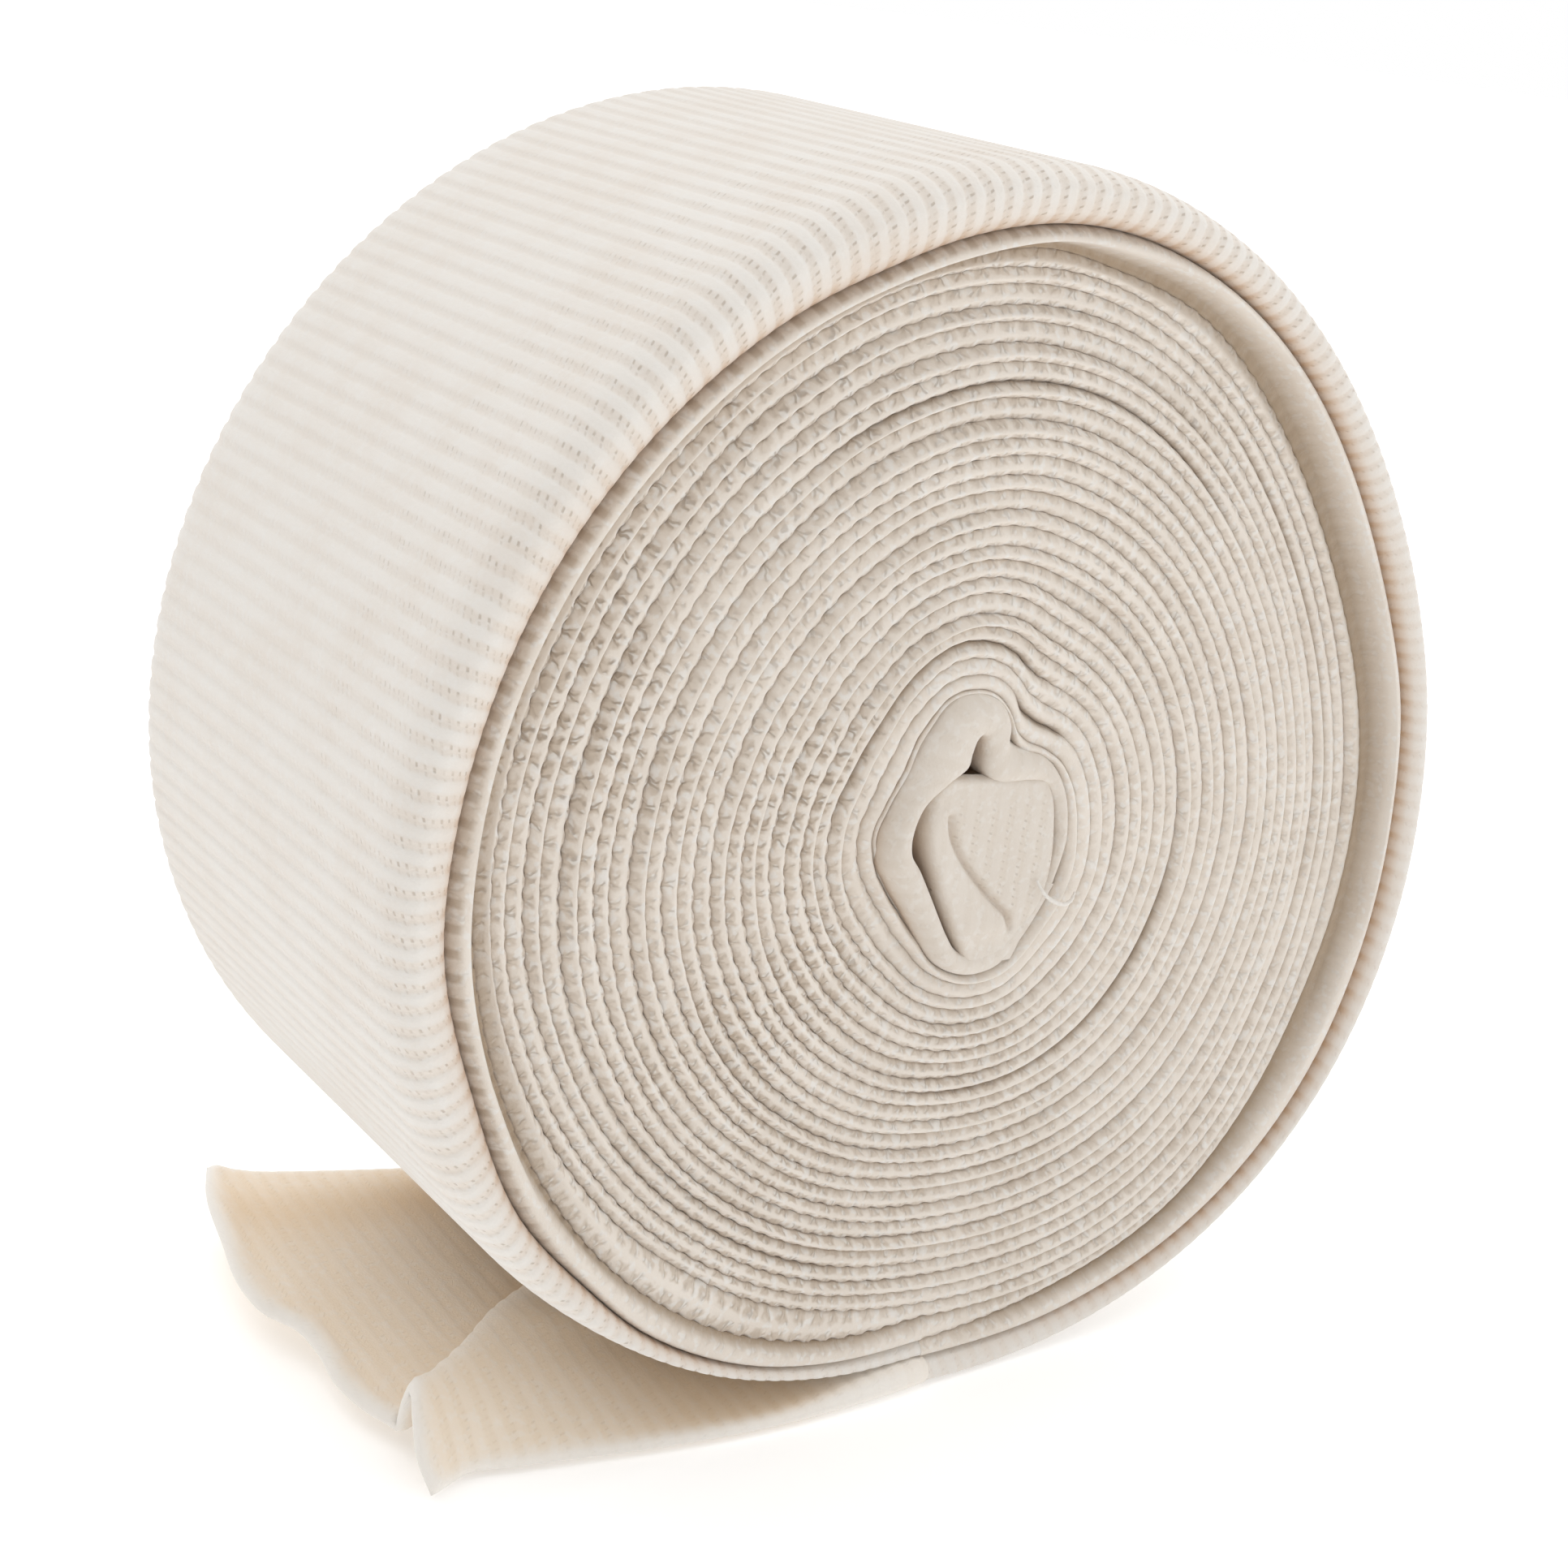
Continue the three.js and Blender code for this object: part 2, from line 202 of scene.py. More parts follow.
# The band that the innermost cloth forms round the core, as pairs of edge points in the plane of the
# end, and the depths of its crest and of its inner foot. It starts low on the right, passes over the
# flap, makes the upright loop and goes down the left side and round the bottom.
CORE_BAND = table(
    "outer_x outer_z inner_x inner_z crest foot",
    (15.0, -11.4, 12.6, -10.4, 3.5, 6.5),
    (15.9, -3.5, 13.2, -3.2, 2.5, 6.5),
    (15, 1.6, 12.3, 0.9, 2, 6.5),
    (13.4, 5.6, 10.9, 4.2, 1.7, 6.5),
    (11.2, 8.8, 9, 6.2, 1.6, 6),
    (8.6, 10.9, 6.8, 6.8, 1.5, 5),
    (5.6, 12, 4.2, 7, 1.3, 4.6),
    (3.4, 12.7, 1.8, 7, 1.3, 4.6),
    (2.3, 13.6, -0.3, 7.6, 1.4, 4.8),
    (2, 14.9, -1.6, 9.4, 1.3, 4.6),
    (1.7, 16.6, -2.3, 12.2, 1, 4.2),
    (-0.1, 18.9, -2.8, 13.8, 0.8, 3.8),
    (-2.6, 20.3, -3.3, 14.4, 0.7, 3.6),
    (-5.6, 21, -3.7, 14.2, 0.7, 3.6),
    (-9.2, 20, -4, 13.4, 0.8, 3.8),
    (-12, 16.1, -4, 11.8, 0.9, 4.4),
    (-13.8, 12.6, -4.1, 9.8, 1, 5),
    (-15.2, 9, -6.6, 8.4, 1, 5.6),
    (-16.4, 5.2, -10.5, 6, 0.9, 6),
    (-17.1, 1.6, -12, 2.4, 0.8, 6.5),
    (-16.6, -2.2, -11.7, -0.8, 0.8, 6.5),
    (-14.6, -5.4, -9.7, -3.6, 0.8, 6.5),
    (-11.7, -9, -7.6, -7.2, 0.9, 6),
    (-9.3, -12.2, -5.8, -10.4, 1, 5.5),
    (-7.2, -15.2, -4, -13.4, 1.1, 5),
    (-4.6, -18.3, -2, -16, 1.3, 4.6),
    (-1, -20.4, -0.2, -16.8, 1.7, 4.4),
    (3, -21.3, 2.6, -16.6, 2.1, 4.4),
    (7.2, -20.6, 5.6, -15.8, 2.5, 4.6),
    (10.9, -17.2, 8.4, -13.6, 2.8, 5.2),
    (13.6, -13, 11, -11, 3, 6),
    (15.6, -9.4, 13, -8.4, 3.2, 6.5),
)
CORE_BAND_BOTTOM = 6.5
# The flap beside the loop: its left and right edges from the top down, and the crease that parts its
# rounded left side from its ribbed panel.
CORE_FLAP = table(
    "left_x left_z right_x right_z",
    (-8.0, 9.0, 10.2, 7.4),
    (-9.9, 6.6, 11.9, 3.8),
    (-10.6, 2.6, 12.8, 0),
    (-9.8, -1, 13.3, -3.6),
    (-8, -5.1, 13.3, -7.2),
    (-6.1, -8.9, 12.6, -10.8),
    (-3.9, -12.8, 11, -14.2),
    (-1.6, -16.6, 9.6, -17),
    (-0.2, -19, 8.4, -19.2),
)
CREASE = table(
    "x z",
    (-6.4, 3.4),
    (-5.6, 0.6),
    (-3.6, -2.6),
    (-0.4, -6.2),
    (3.2, -9.7),
    (6.2, -12.2),
    (7.4, -14.4),
)
# Depth of the core's filling, how far it reaches under the innermost turn, and the pitch of the core's ribs.
CORE_FLOOR = 6.0
CORE_MARGIN = 1.5
CORE_RIB = 2.9
# How the flap is rounded over at each side: how far down at the very edge, and over what width.
FLAP_ROUNDING = table(
    "side down width",
    ("left", 3.0, 1.6),
    ("right", 2.0, 1.6),
    ("top", 1.6, 1.0),
)
THREAD = table(
    "x z depth",
    (10.1, -7.4, 1.9),
    (10.9, -9.0, 1.0),
    (12.4, -10.2, 0.7),
    (14.6, -11.1, 0.8),
    (16.4, -11.0, 1.2),
    (17.6, -10.2, 1.9),
)
THREAD_RADIUS = 0.3
# Points along and around the pieces of the core.
BAND_POINTS = {"along": 560, "front": 25, "back": 9}
FLAP_POINTS = {"along": 140, "across": 91, "crease": 60}
THREAD_POINTS = {"along": 60, "around": 8}
FILLING_POINTS = 180

# Stations along the loose end, by distance from where it leaves the roll: its near edge, its ridge, the
# valley behind it and its far edge, as depths from the front of the roll and heights of its underside.
LOOSE_STATIONS = table(
    "along near_y ridge_y ridge_z valley_z far_y far_z",
    (-7, -0.2, 46, 0, 0, 74, 0),
    (0, -1, 46, 0, 0, 74.2, 0),
    (14, -1, 45, 0.2, 0, 74.6, 0.2),
    (28, 0.1, 41.5, 2.4, 0.7, 75.6, 1.4),
    (42, 2.4, 36, 5.2, 1.5, 77, 3.2),
    (52, 4.7, 30, 6.8, 1.9, 78.2, 4.4),
    (60, 6.6, 23.5, 7.7, 2.2, 79.3, 5.4),
    (67, 8.1, 18.9, 8.2, 2.5, 80.2, 6.5),
    (73, 6.2, 16.4, 8.4, 2.7, 81, 8.2),
    (82, 4.6, 15.6, 8.4, 2.8, 82, 9.6),
)
CUT_EDGE = table(
    "across reach",
    (0, 73.4), (0.05, 74.2), (0.12, 73.2), (0.18, 71.8),
    (0.23, 72.6), (0.3, 73.2), (0.35, 75), (0.42, 76.3),
    (0.5, 75.8), (0.57, 76.8), (0.61, 79.2), (0.66, 80),
    (0.8, 78.4), (0.93, 76), (1, 73.4),
)
RIDGE_SHARE = {"at_roll": 0.57, "at_cut": 0.18, "from": 10, "to": 72}
DROP_SHARE = 0.11
# A second, lower fold that parts from the ridge and runs into the front panel near the roll.
SECOND_FOLD = {"from": 24, "to": 56, "height": 1.0, "width": 2.6, "depth_at_roll": 22.5, "depth_at_ridge": 28}
# Where the cloth leaves the roll, from which its length is counted, and where it starts under the roll.
LOOSE_ROOT_X = -11.48
LOOSE_ROOT = -2.2
# The cloth is thicker where the roll's last layer lies folded on it.
ROOT_THICKNESS = {"extra": 1.75, "from": 1, "to": 27}

# The floor lies just under the roll, so that the two don't share a plane.
FLOOR_HEIGHT = -0.0003
# The camera stands where the photograph was taken from, and is turned a little about its own axis.
CAMERA_PLACE = (-211.924, -252.833, 190.536)
CAMERA_TURN = {"azimuth": -37.303, "elevation": 19.237, "roll": 7.219}
LENS = 54.40
# The even light is whole on the side that this level direction points to, away from the camera, and
# falls off towards the camera between these two shares of it.
FROM_CAMERA = (0.9, 0.42, 0.0)
DIM_BELOW = -0.75
WHOLE_ABOVE = 0.15
KEY_LIGHT = {"towards": (0.12, -0.1, -0.98), "spread": 70, "colour": (1.0, 0.99, 0.98)}


def setting(name, description, default, unit="LENGTH"):
    """A setting of the panel, in metres if it is a length."""
    return bpy.props.FloatProperty(name=name, description=description, default=default, unit=unit)


class RollSettings(bpy.types.PropertyGroup):
    width: setting("Width", "Flat width of the tube", 0.075)
    radius: setting("Radius", "Mean radius of the roll", 0.0857)
    axis_height: setting("Axis height", "Height of the roll's axis", 0.084)
    turns: setting("Turns", "Turns of cloth from the loose end to the core", 28.0, "NONE")
    cloth: setting("Cloth", "Thickness of the flattened tube", 0.0022)


class KnitSettings(bpy.types.PropertyGroup):
    ribs_around: bpy.props.IntProperty(
        name="Ribs around", description="Ribs around the outer turn", default=186
    )
    end_rib: setting("End rib", "Pitch of the ribs on the wound ends", 0.0032)
    relief: setting("Relief", "Height of a rib over the strip beside it", 0.00018)
    stitch: setting("Stitch", "Length of a knitted stitch along a rib", 0.00110)


class StageSettings(bpy.types.PropertyGroup):
    floor: setting("Floor", "Width of the floor", 16.0)
    sky: setting("Sky", "Strength of the even studio light", 1.0, "NONE")
    key: setting("Key", "Strength of the broad main light", 1.0, "NONE")
    dim: setting("Dim side", "Strength of the even light in front", 0.42, "NONE")
    zenith: setting("Zenith", "Share of the even light overhead", 0.95, "NONE")


def settings():
    """The three groups of settings, with lengths in metres."""
    scene = bpy.context.scene
    return scene.bandage_roll, scene.bandage_knit, scene.bandage_stage


def column(rows, name):
    """One named column of a table as an array."""
    return np.array([row[name] for row in rows], float)


def curve(keys, values, at):
    """A smooth curve through (key, value) pairs: a cubic on each run, with slopes from its neighbours."""
    keys = np.asarray(keys, float)
    values = np.asarray(values, float)
    slopes = np.gradient(values, keys)
    at = np.clip(at, keys[0], keys[-1])
    k = np.clip(np.searchsorted(keys, at, side="right") - 1, 0, len(keys) - 2)
    run = keys[k + 1] - keys[k]
    t = (at - keys[k]) / run
    start = values[k] * (1 + 2 * t) * (1 - t) ** 2 + slopes[k] * run * t * (1 - t) ** 2
    end = values[k + 1] * t * t * (3 - 2 * t) - slopes[k + 1] * run * t * t * (1 - t)
    return start + end


def curves(rows, at, key=None):
    """Smooth curves through the columns of a table, in their order, against its key column. Without one,
    they run from row to row, which are counted from 0."""
    keys = column(rows, key) if key else np.arange(len(rows))
    return [curve(keys, column(rows, name), at) for name in rows[0] if name != key]


def along_rows(rows, count):
    """Evenly spaced places along a table, from its first row to its last."""
    return np.linspace(0, len(rows) - 1, count)


def around(rows, name, degrees):
    """A smooth curve around the roll, where the last row of the table leads back to the first."""
    angles = column(rows, "angle")
    values = column(rows, name)
    keys = np.concatenate([angles - 360, angles, angles + 360])
    folded = (degrees - START) % 360 + START
    return curve(keys, np.tile(values, 3), folded)


def mix(first, second, share):
    """The place at a share of the way from the first to the second."""
    return first + (second - first) * share


def ease(value, start, end):
    """A smooth step from 0 at start to 1 at end."""
    t = np.clip((value - start) / (end - start), 0, 1)
    return t * t * (3 - 2 * t)


def section(degrees):
    """Radius of the round section: the mean radius and its lobes."""
    roll, _, _ = settings()
    lobes = 0
    for lobe in SECTION_LOBES:
        lobes = lobes + lobe["height"] * np.cos(np.radians(lobe["order"] * (degrees - lobe["peak"])))
    return roll.radius / MM + lobes


def turn_of(theta):
    """Number of turns from the start of the outermost layer."""
    return (theta - START) / 360


def waves(theta, name):
    """Slow unevenness along the cloth, from none on the two outer turns to the whole inside the dip."""
    radians = np.radians(theta)
    rise = sum(wave[name] * np.sin(wave["per_turn"] * radians + wave["phase"]) for wave in WAVES)
    return rise * ease(turn_of(theta), *WAVES_RISE)


def share_inside(theta):
    """Share of the way from the dip to the core."""
    roll, _, _ = settings()
    return (turn_of(theta) - TURNS_OUTSIDE) / (roll.turns - TURNS_OUTSIDE)


def edge(theta):
    """Radius of the cloth's outer edge at each angle along the winding. Inside the dip it goes evenly
    from the rim to a round core, and takes on the core's own outline only in its last turns."""
    outside = section(theta) - curves(EDGES, theta, "angle")[0]
    rim = section(theta) - around(DIP_EDGE, "inset", theta)
    share = np.clip(share_inside(theta), 0, 1)
    out_of_round = around(CORE_EDGE, "radius", theta) - CORE_RADIUS
    inside = mix(rim, CORE_RADIUS, share) + out_of_round * share**3
    return np.where(turn_of(theta) < TURNS_OUTSIDE, outside, inside) + waves(theta, "edge")


def crest(theta):
    """Depth of a turn's crest: proud on the two outer turns, lowest in the dip, and higher inside it."""
    eased = ease(share_inside(theta), 0.0, 0.45)
    dip = around(CREST_DEPTHS, "dip", theta)
    core = around(CREST_DEPTHS, "core", theta)
    near_core = ease(share_inside(theta), 0.55, 0.95)
    inside = mix(dip, MIDDLE_CREST, eased) + (core - MIDDLE_CREST) * near_core + waves(theta, "crest")
    lead_in = curves(LEAD_IN, theta, "angle")[0]
    turn = turn_of(theta)
    is_before = [turn < 1, turn < 2, turn < TURNS_OUTSIDE]
    return np.select(is_before, [OUTER_CREST, SECOND_CREST, lead_in], inside)


def open_gap(theta):
    """Extra depth of the groove on a turn's outer side where a bundle of turns stands apart."""
    turn = turn_of(theta)
    angle = (theta - START) % 360 + START
    extra = np.zeros_like(turn)
    for gap in OPEN_GAPS:
        middle = (gap["from"] + gap["to"]) / 2
        half = (gap["to"] - gap["from"]) / 2
        away = (angle - middle + 180) % 360 - 180
        near = 1 - ease(np.abs(away), 0.6 * half, half)
        at_turn = np.exp(-(((turn - gap["turn"]) / GAP_WIDTH) ** 2))
        extra = np.maximum(extra, gap["depth"] * near * at_turn)
    return extra


def groove(theta):
    """Depth of the groove on a turn's outer side, at a rib: a little below the lower of the two crests."""
    both = np.maximum(crest(theta), crest(np.maximum(theta - 360, START)))
    plain = np.where(turn_of(theta) < 2, FIRST_GROOVE, both + GROOVE_AT_RIB)
    return plain + open_gap(theta)


def place(degrees, radius, depth):
    """Points of the roll, in millimetres, from angle, front radius and depth behind the front plane.
    The back is wound a little larger, and nothing reaches below the flat spot."""
    roll, _, _ = settings()
    width = roll.width / MM
    grown = radius * (1 + BACK_GROWTH * depth / width)
    angle = np.radians(degrees)
    x = AXIS_X + grown * np.cos(angle)
    z = np.maximum(0, roll.axis_height / MM + grown * np.sin(angle))
    return np.stack([x, depth - width / 2 + 0 * x, z], axis=-1)


def in_plane(x, z, depth):
    """Points of the core, in millimetres, from their place in the plane of the end and their depth."""
    return place(np.degrees(np.arctan2(z, x)), np.hypot(x, z), depth)


def smooth_new_mesh(name, vertices, quads, triangles, uv, tint):
    """A smooth-shaded mesh from arrays: corners in millimetres, quads, triangles, one UV for each corner of
    a face and one tint for each vertex. Faces are turned so that the enclosed volume is positive."""
    corners = vertices[triangles]
    halves = np.concatenate([vertices[quads[:, [0, 1, 2]]], vertices[quads[:, [0, 2, 3]]], corners])
    volume = np.einsum("ij,ij->i", halves[:, 0], np.cross(halves[:, 1], halves[:, 2])).sum()
    quad_uv, triangle_uv = uv
    if volume < 0:
        quads, quad_uv = quads[:, ::-1], quad_uv[:, ::-1]
        triangles, triangle_uv = triangles[:, ::-1], triangle_uv[:, ::-1]
    loops = np.concatenate([quads.ravel(), triangles.ravel()])
    starts = np.concatenate([4 * np.arange(len(quads)), 4 * len(quads) + 3 * np.arange(len(triangles))])
    mesh = bpy.data.meshes.new(name)
    mesh.vertices.add(len(vertices))
    mesh.vertices.foreach_set("co", (vertices * MM).astype(np.float32).ravel())
    mesh.loops.add(len(loops))
    mesh.loops.foreach_set("vertex_index", loops.astype(np.int32))
    mesh.polygons.add(len(starts))
    mesh.polygons.foreach_set("loop_start", starts.astype(np.int32))
    mesh.polygons.foreach_set("use_smooth", np.ones(len(starts), bool))
    mesh.update(calc_edges=True)
    layer = mesh.uv_layers.new(name="Stitches")
    both = np.concatenate([quad_uv.reshape(-1, 2), triangle_uv.reshape(-1, 2)])
    layer.data.foreach_set("uv", both.astype(np.float32).ravel())
    colour = mesh.color_attributes.new("Knit", "FLOAT_COLOR", "POINT")
    colour.data.foreach_set("color", np.column_stack([tint, np.ones(len(tint))]).astype(np.float32).ravel())
    mesh.validate()
    return mesh


def tube_sides(count, points, uv):
    """The quads between neighbouring rings, by the numbers of their corners, and their UVs."""
    i, j = np.meshgrid(np.arange(count - 1), np.arange(points), indexing="ij")
    after = (j + 1) % points
    ring = i * points
    next_ring = (i + 1) * points
    quads = np.stack([ring + j, next_ring + j, next_ring + after, ring + after], -1)
    quad_uv = np.stack([uv[i, j], uv[i + 1, j], uv[i + 1, j + 1], uv[i, j + 1]], -2)
    return quads.reshape(-1, 4), quad_uv.reshape(-1, 4, 2)


def closed_sheet(name, rings, uv, tint):
    """A mesh through closed rings of points, each up one side of a sheet and back down the other, with both
    ends closed by quads between the points that face each other. The arrays are as for closed_tube."""
    count, points, _ = rings.shape
    quads, quad_uv = tube_sides(count, points, uv)
    rung = np.arange(points // 2 - 1)
    rungs = np.stack([rung, rung + 1, points - 2 - rung, points - 1 - rung], -1)
    quads = np.concatenate([quads, rungs, (count - 1) * points + rungs[:, ::-1]])
    quad_uv = np.concatenate([quad_uv, uv[0][rungs], uv[-1][rungs[:, ::-1]]])
    no_triangles = np.zeros((0, 3), int)
    both_uv = (quad_uv, np.zeros((0, 3, 2)))
    return smooth_new_mesh(name, rings.reshape(-1, 3), quads, no_triangles, both_uv, tint.reshape(-1, 3))


def closed_tube(name, rings, uv, tint):
    """A mesh through closed rings of points, with each end closed by a fan to its middle.
    rings is (ring, point, 3); uv has one more point than a ring, for its seam; tint is (ring, point, 3)."""
    count, points, _ = rings.shape
    middles = np.stack([rings[0].mean(0), rings[-1].mean(0)])
    vertices = np.concatenate([rings.reshape(-1, 3), middles])
    quads, quad_uv = tube_sides(count, points, uv)
    j = np.arange(points)
    after = (j + 1) % points
    last = (count - 1) * points
    first_cap = np.stack([np.full(points, count * points), after, j], -1)
    last_cap = np.stack([np.full(points, count * points + 1), last + j, last + after], -1)
    first_uv = np.stack([np.broadcast_to(uv[0].mean(0), (points, 2)), uv[0, 1:], uv[0, :-1]], -2)
    last_uv = np.stack([np.broadcast_to(uv[-1].mean(0), (points, 2)), uv[-1, :-1], uv[-1, 1:]], -2)
    triangles = np.concatenate([first_cap, last_cap])
    tints = np.concatenate([tint.reshape(-1, 3), tint[0].mean(0)[None], tint[-1].mean(0)[None]])
    both_uv = (quad_uv, np.concatenate([first_uv, last_uv]))
    return smooth_new_mesh(name, vertices, quads, triangles, both_uv, tints)


def add_piece(name, mesh, material, nodes):
    if not len(mesh.polygons):
        raise RuntimeError(f"{name} has no faces")
    mesh.materials.append(material)
    piece = bpy.data.objects.new(name, mesh)
    bpy.context.scene.collection.objects.link(piece)
    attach(piece, "root")
    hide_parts(*nodes)
    return piece


def add_wound_piece(name, rings, uv, tint, material):
    """Adds a closed tube as one of the pieces that dress the wound roll."""
    return add_piece(name, closed_tube(name, rings, uv, tint), material, ["wound_roll"])


def rib_columns(start, end, pitch, per_rib):
    """Angles along the winding, evenly spaced by length of cloth, and their count of ribs from the start.
    The length is summed on a fine line through the middle of the turn, and holds a whole number of ribs."""
    fine = np.linspace(start, end, int(2 * (end - start)) + 1)
    radius = edge(fine)
    length = np.concatenate([[0], np.cumsum((radius[1:] + radius[:-1]) / 2 * np.radians(np.diff(fine)))])
    count = round(length[-1] / pitch)
    steps = np.arange(0, count * per_rib + 1) / per_rib
    return np.interp(steps / count * length[-1], length, fine), steps


def raised(ribs):
    """1 on the raised band of each rib and 0 in the strip beside it, which is the middle of its count."""
    off = np.abs(ribs % 1 - 0.5)
    return ease(off, 0.10, 0.27)


def path_length(points):
    """Length along the last but one axis of an array of points, from its first point."""
    steps = np.linalg.norm(np.diff(points, axis=-2), axis=-1)
    return np.concatenate([np.zeros_like(steps[..., :1]), np.cumsum(steps, axis=-1)], axis=-1)


# Rows of the outermost turn's section: quarter rounds on both sides of each end's crest, and the
# outer surface between the two ends. A rib of it has ten steps along the winding.
OUTER_STEPS = 10
CREST_SHARE = 0.42
ROUND_END = 5.5
INNER_QUARTER = 5
OUTER_QUARTER = 7
SURFACE_ROWS = 16
# How far the rows of stitches bow towards the back, from one angle round the roll to another.
BOWS = table(
    "by from to",
    (2.6, 160, 235),
    (1.1, 120, 90),
)
# The last UV of a ring lies this far past the one before it, since it is only the seam's.
SEAM = 50


def outer_section():
    """Share of the way in from the outer edge, depth behind the end's crest as a share of its quarter,
    and the two rib directions, for the front half of the outermost turn's section."""
    inner = np.linspace(0, np.pi / 2, INNER_QUARTER + 1)[:-1]
    outer = np.linspace(np.pi / 2, 0, OUTER_QUARTER + 1)
    inwards = CREST_SHARE + (1 - CREST_SHARE) * np.cos(inner)
    outwards = CREST_SHARE * (1 - np.cos(outer))
    share = np.concatenate([inwards, outwards])
    below = 1 - np.concatenate([np.sin(inner), np.sin(outer)])
    is_outer = np.concatenate([np.zeros(len(inner)), np.ones(len(outer))])
    sideways = np.concatenate([0 * inner, np.cos(outer)])
    endways = np.concatenate([np.sin(inner), np.sin(outer)])
    return share, below, is_outer, sideways, endways


def wind_outer_turn(material):
    """The outermost turn: the closed section of the flattened tube, carried once around the roll and a
    degree on, into the second turn. Its ribs are a wave along the winding that lowers the strips between
    them, and its crest comes down to the second turn's by a smooth step."""
    roll, knit, _ = settings()
    width = roll.width / MM
    end = START + OUTER_SWEEP
    ribs = np.arange(0, int(knit.ribs_around * OUTER_SWEEP / 360) * OUTER_STEPS + 1) / OUTER_STEPS
    theta = START + 360 * ribs / knit.ribs_around
    outer = edge(theta)[:, None]
    inner = edge(theta + 360)[:, None] + TURN_GAP
    share, below, is_outer, sideways, endways = outer_section()
    bottom = np.where(is_outer > 0, ROUND_END, groove(theta + 360)[:, None])
    shown = 0.25 + 0.75 * ease(np.cos(np.radians(theta - LEAN["towards"])), -0.8, 0.4)[:, None]
    between_ribs = (1 - raised(ribs))[:, None]
    sunk = -(knit.relief / MM) * between_ribs * shown
    radius = mix(outer, inner, share) + sunk * sideways
    top = mix(OUTER_CREST, SECOND_CREST, ease(theta, end - CREST_COMES_DOWN, end))[:, None]
    depth = mix(top, bottom, below) - sunk * endways
    rows = np.linspace(ROUND_END, width - ROUND_END, SURFACE_ROWS + 2)[1:-1]
    surface_radius = np.broadcast_to(outer + sunk, (len(theta), SURFACE_ROWS))
    surface_depth = np.broadcast_to(rows, (len(theta), SURFACE_ROWS))
    radius = np.concatenate([radius, surface_radius, radius[:, ::-1]], 1)
    depth = np.concatenate([depth, surface_depth, (width - depth)[:, ::-1]], 1)
    rings = place(theta[:, None], radius, depth)
    angle = (theta - START) % 360 + START
    bow = sum(row["by"] * ease(angle, row["from"], row["to"]) for row in BOWS)
    along = path_length(rings)
    along = along - along[:, INNER_QUARTER][:, None]
    along = np.concatenate([along, along[:, -1:] + SEAM], 1)
    uv = np.stack([np.broadcast_to(ribs[:, None], along.shape), along + bow[:, None]], -1)
    tint = np.zeros(rings.shape)
    # Painted shade: the outer turn's inner side, down in the first groove, is tinted tan towards the end,
    # more between the ribs.
    inner_side = 0.2 * ease(share, 0.45, 0.7) + 0.8 * ease(share, 0.72, 1.0)
    inside_ends = (ease(angle, -86, -55) * ease(angle, 262, 235))[:, None]
    half = len(share)
    near_end = ease(depth[:, :half], 6.0, 2.0)
    painted_inner_side_shade = inside_ends * inner_side * near_end * (0.7 + 0.3 * between_ribs)
    tint[:, :half, 0] = painted_inner_side_shade
    tint[:, -half:, 0] = painted_inner_side_shade[:, ::-1]
    tint[..., 2] = stitch_strength(depth + bow[:, None]) * shown
    return add_wound_piece("outer_turn", rings, uv, tint, material)


# How clearly the stitches show, by depth: most near the rim and in two stretched bands.
STITCHES_SHOW = table(
    "depth strength",
    (-2, 0.65), (2, 0.70), (4, 0.45), (6.5, 0.28),
    (9, 0.34), (10.5, 0.62), (12.5, 0.55), (14, 0.10),
    (17, 0.10), (18.8, 0.48), (21.5, 0.40), (23.5, 0.14),
    (75, 0.08),
)


def stitch_strength(depth):
    """How clearly the stitches show at a depth, in straight steps between the table's rows."""
    return np.interp(depth, column(STITCHES_SHOW, "depth"), column(STITCHES_SHOW, "strength"))


# A turn's section from its outer groove (-1) over its crest (0) to its inner groove (1).
FRONT_FLANKS = np.array([-1, -0.8, -0.55, -0.28, -0.08, 0.08, 0.28, 0.55, 0.8, 1])
BACK_FLANKS = np.array([1, 0.6, 0.2, -0.2, -0.6, -1])


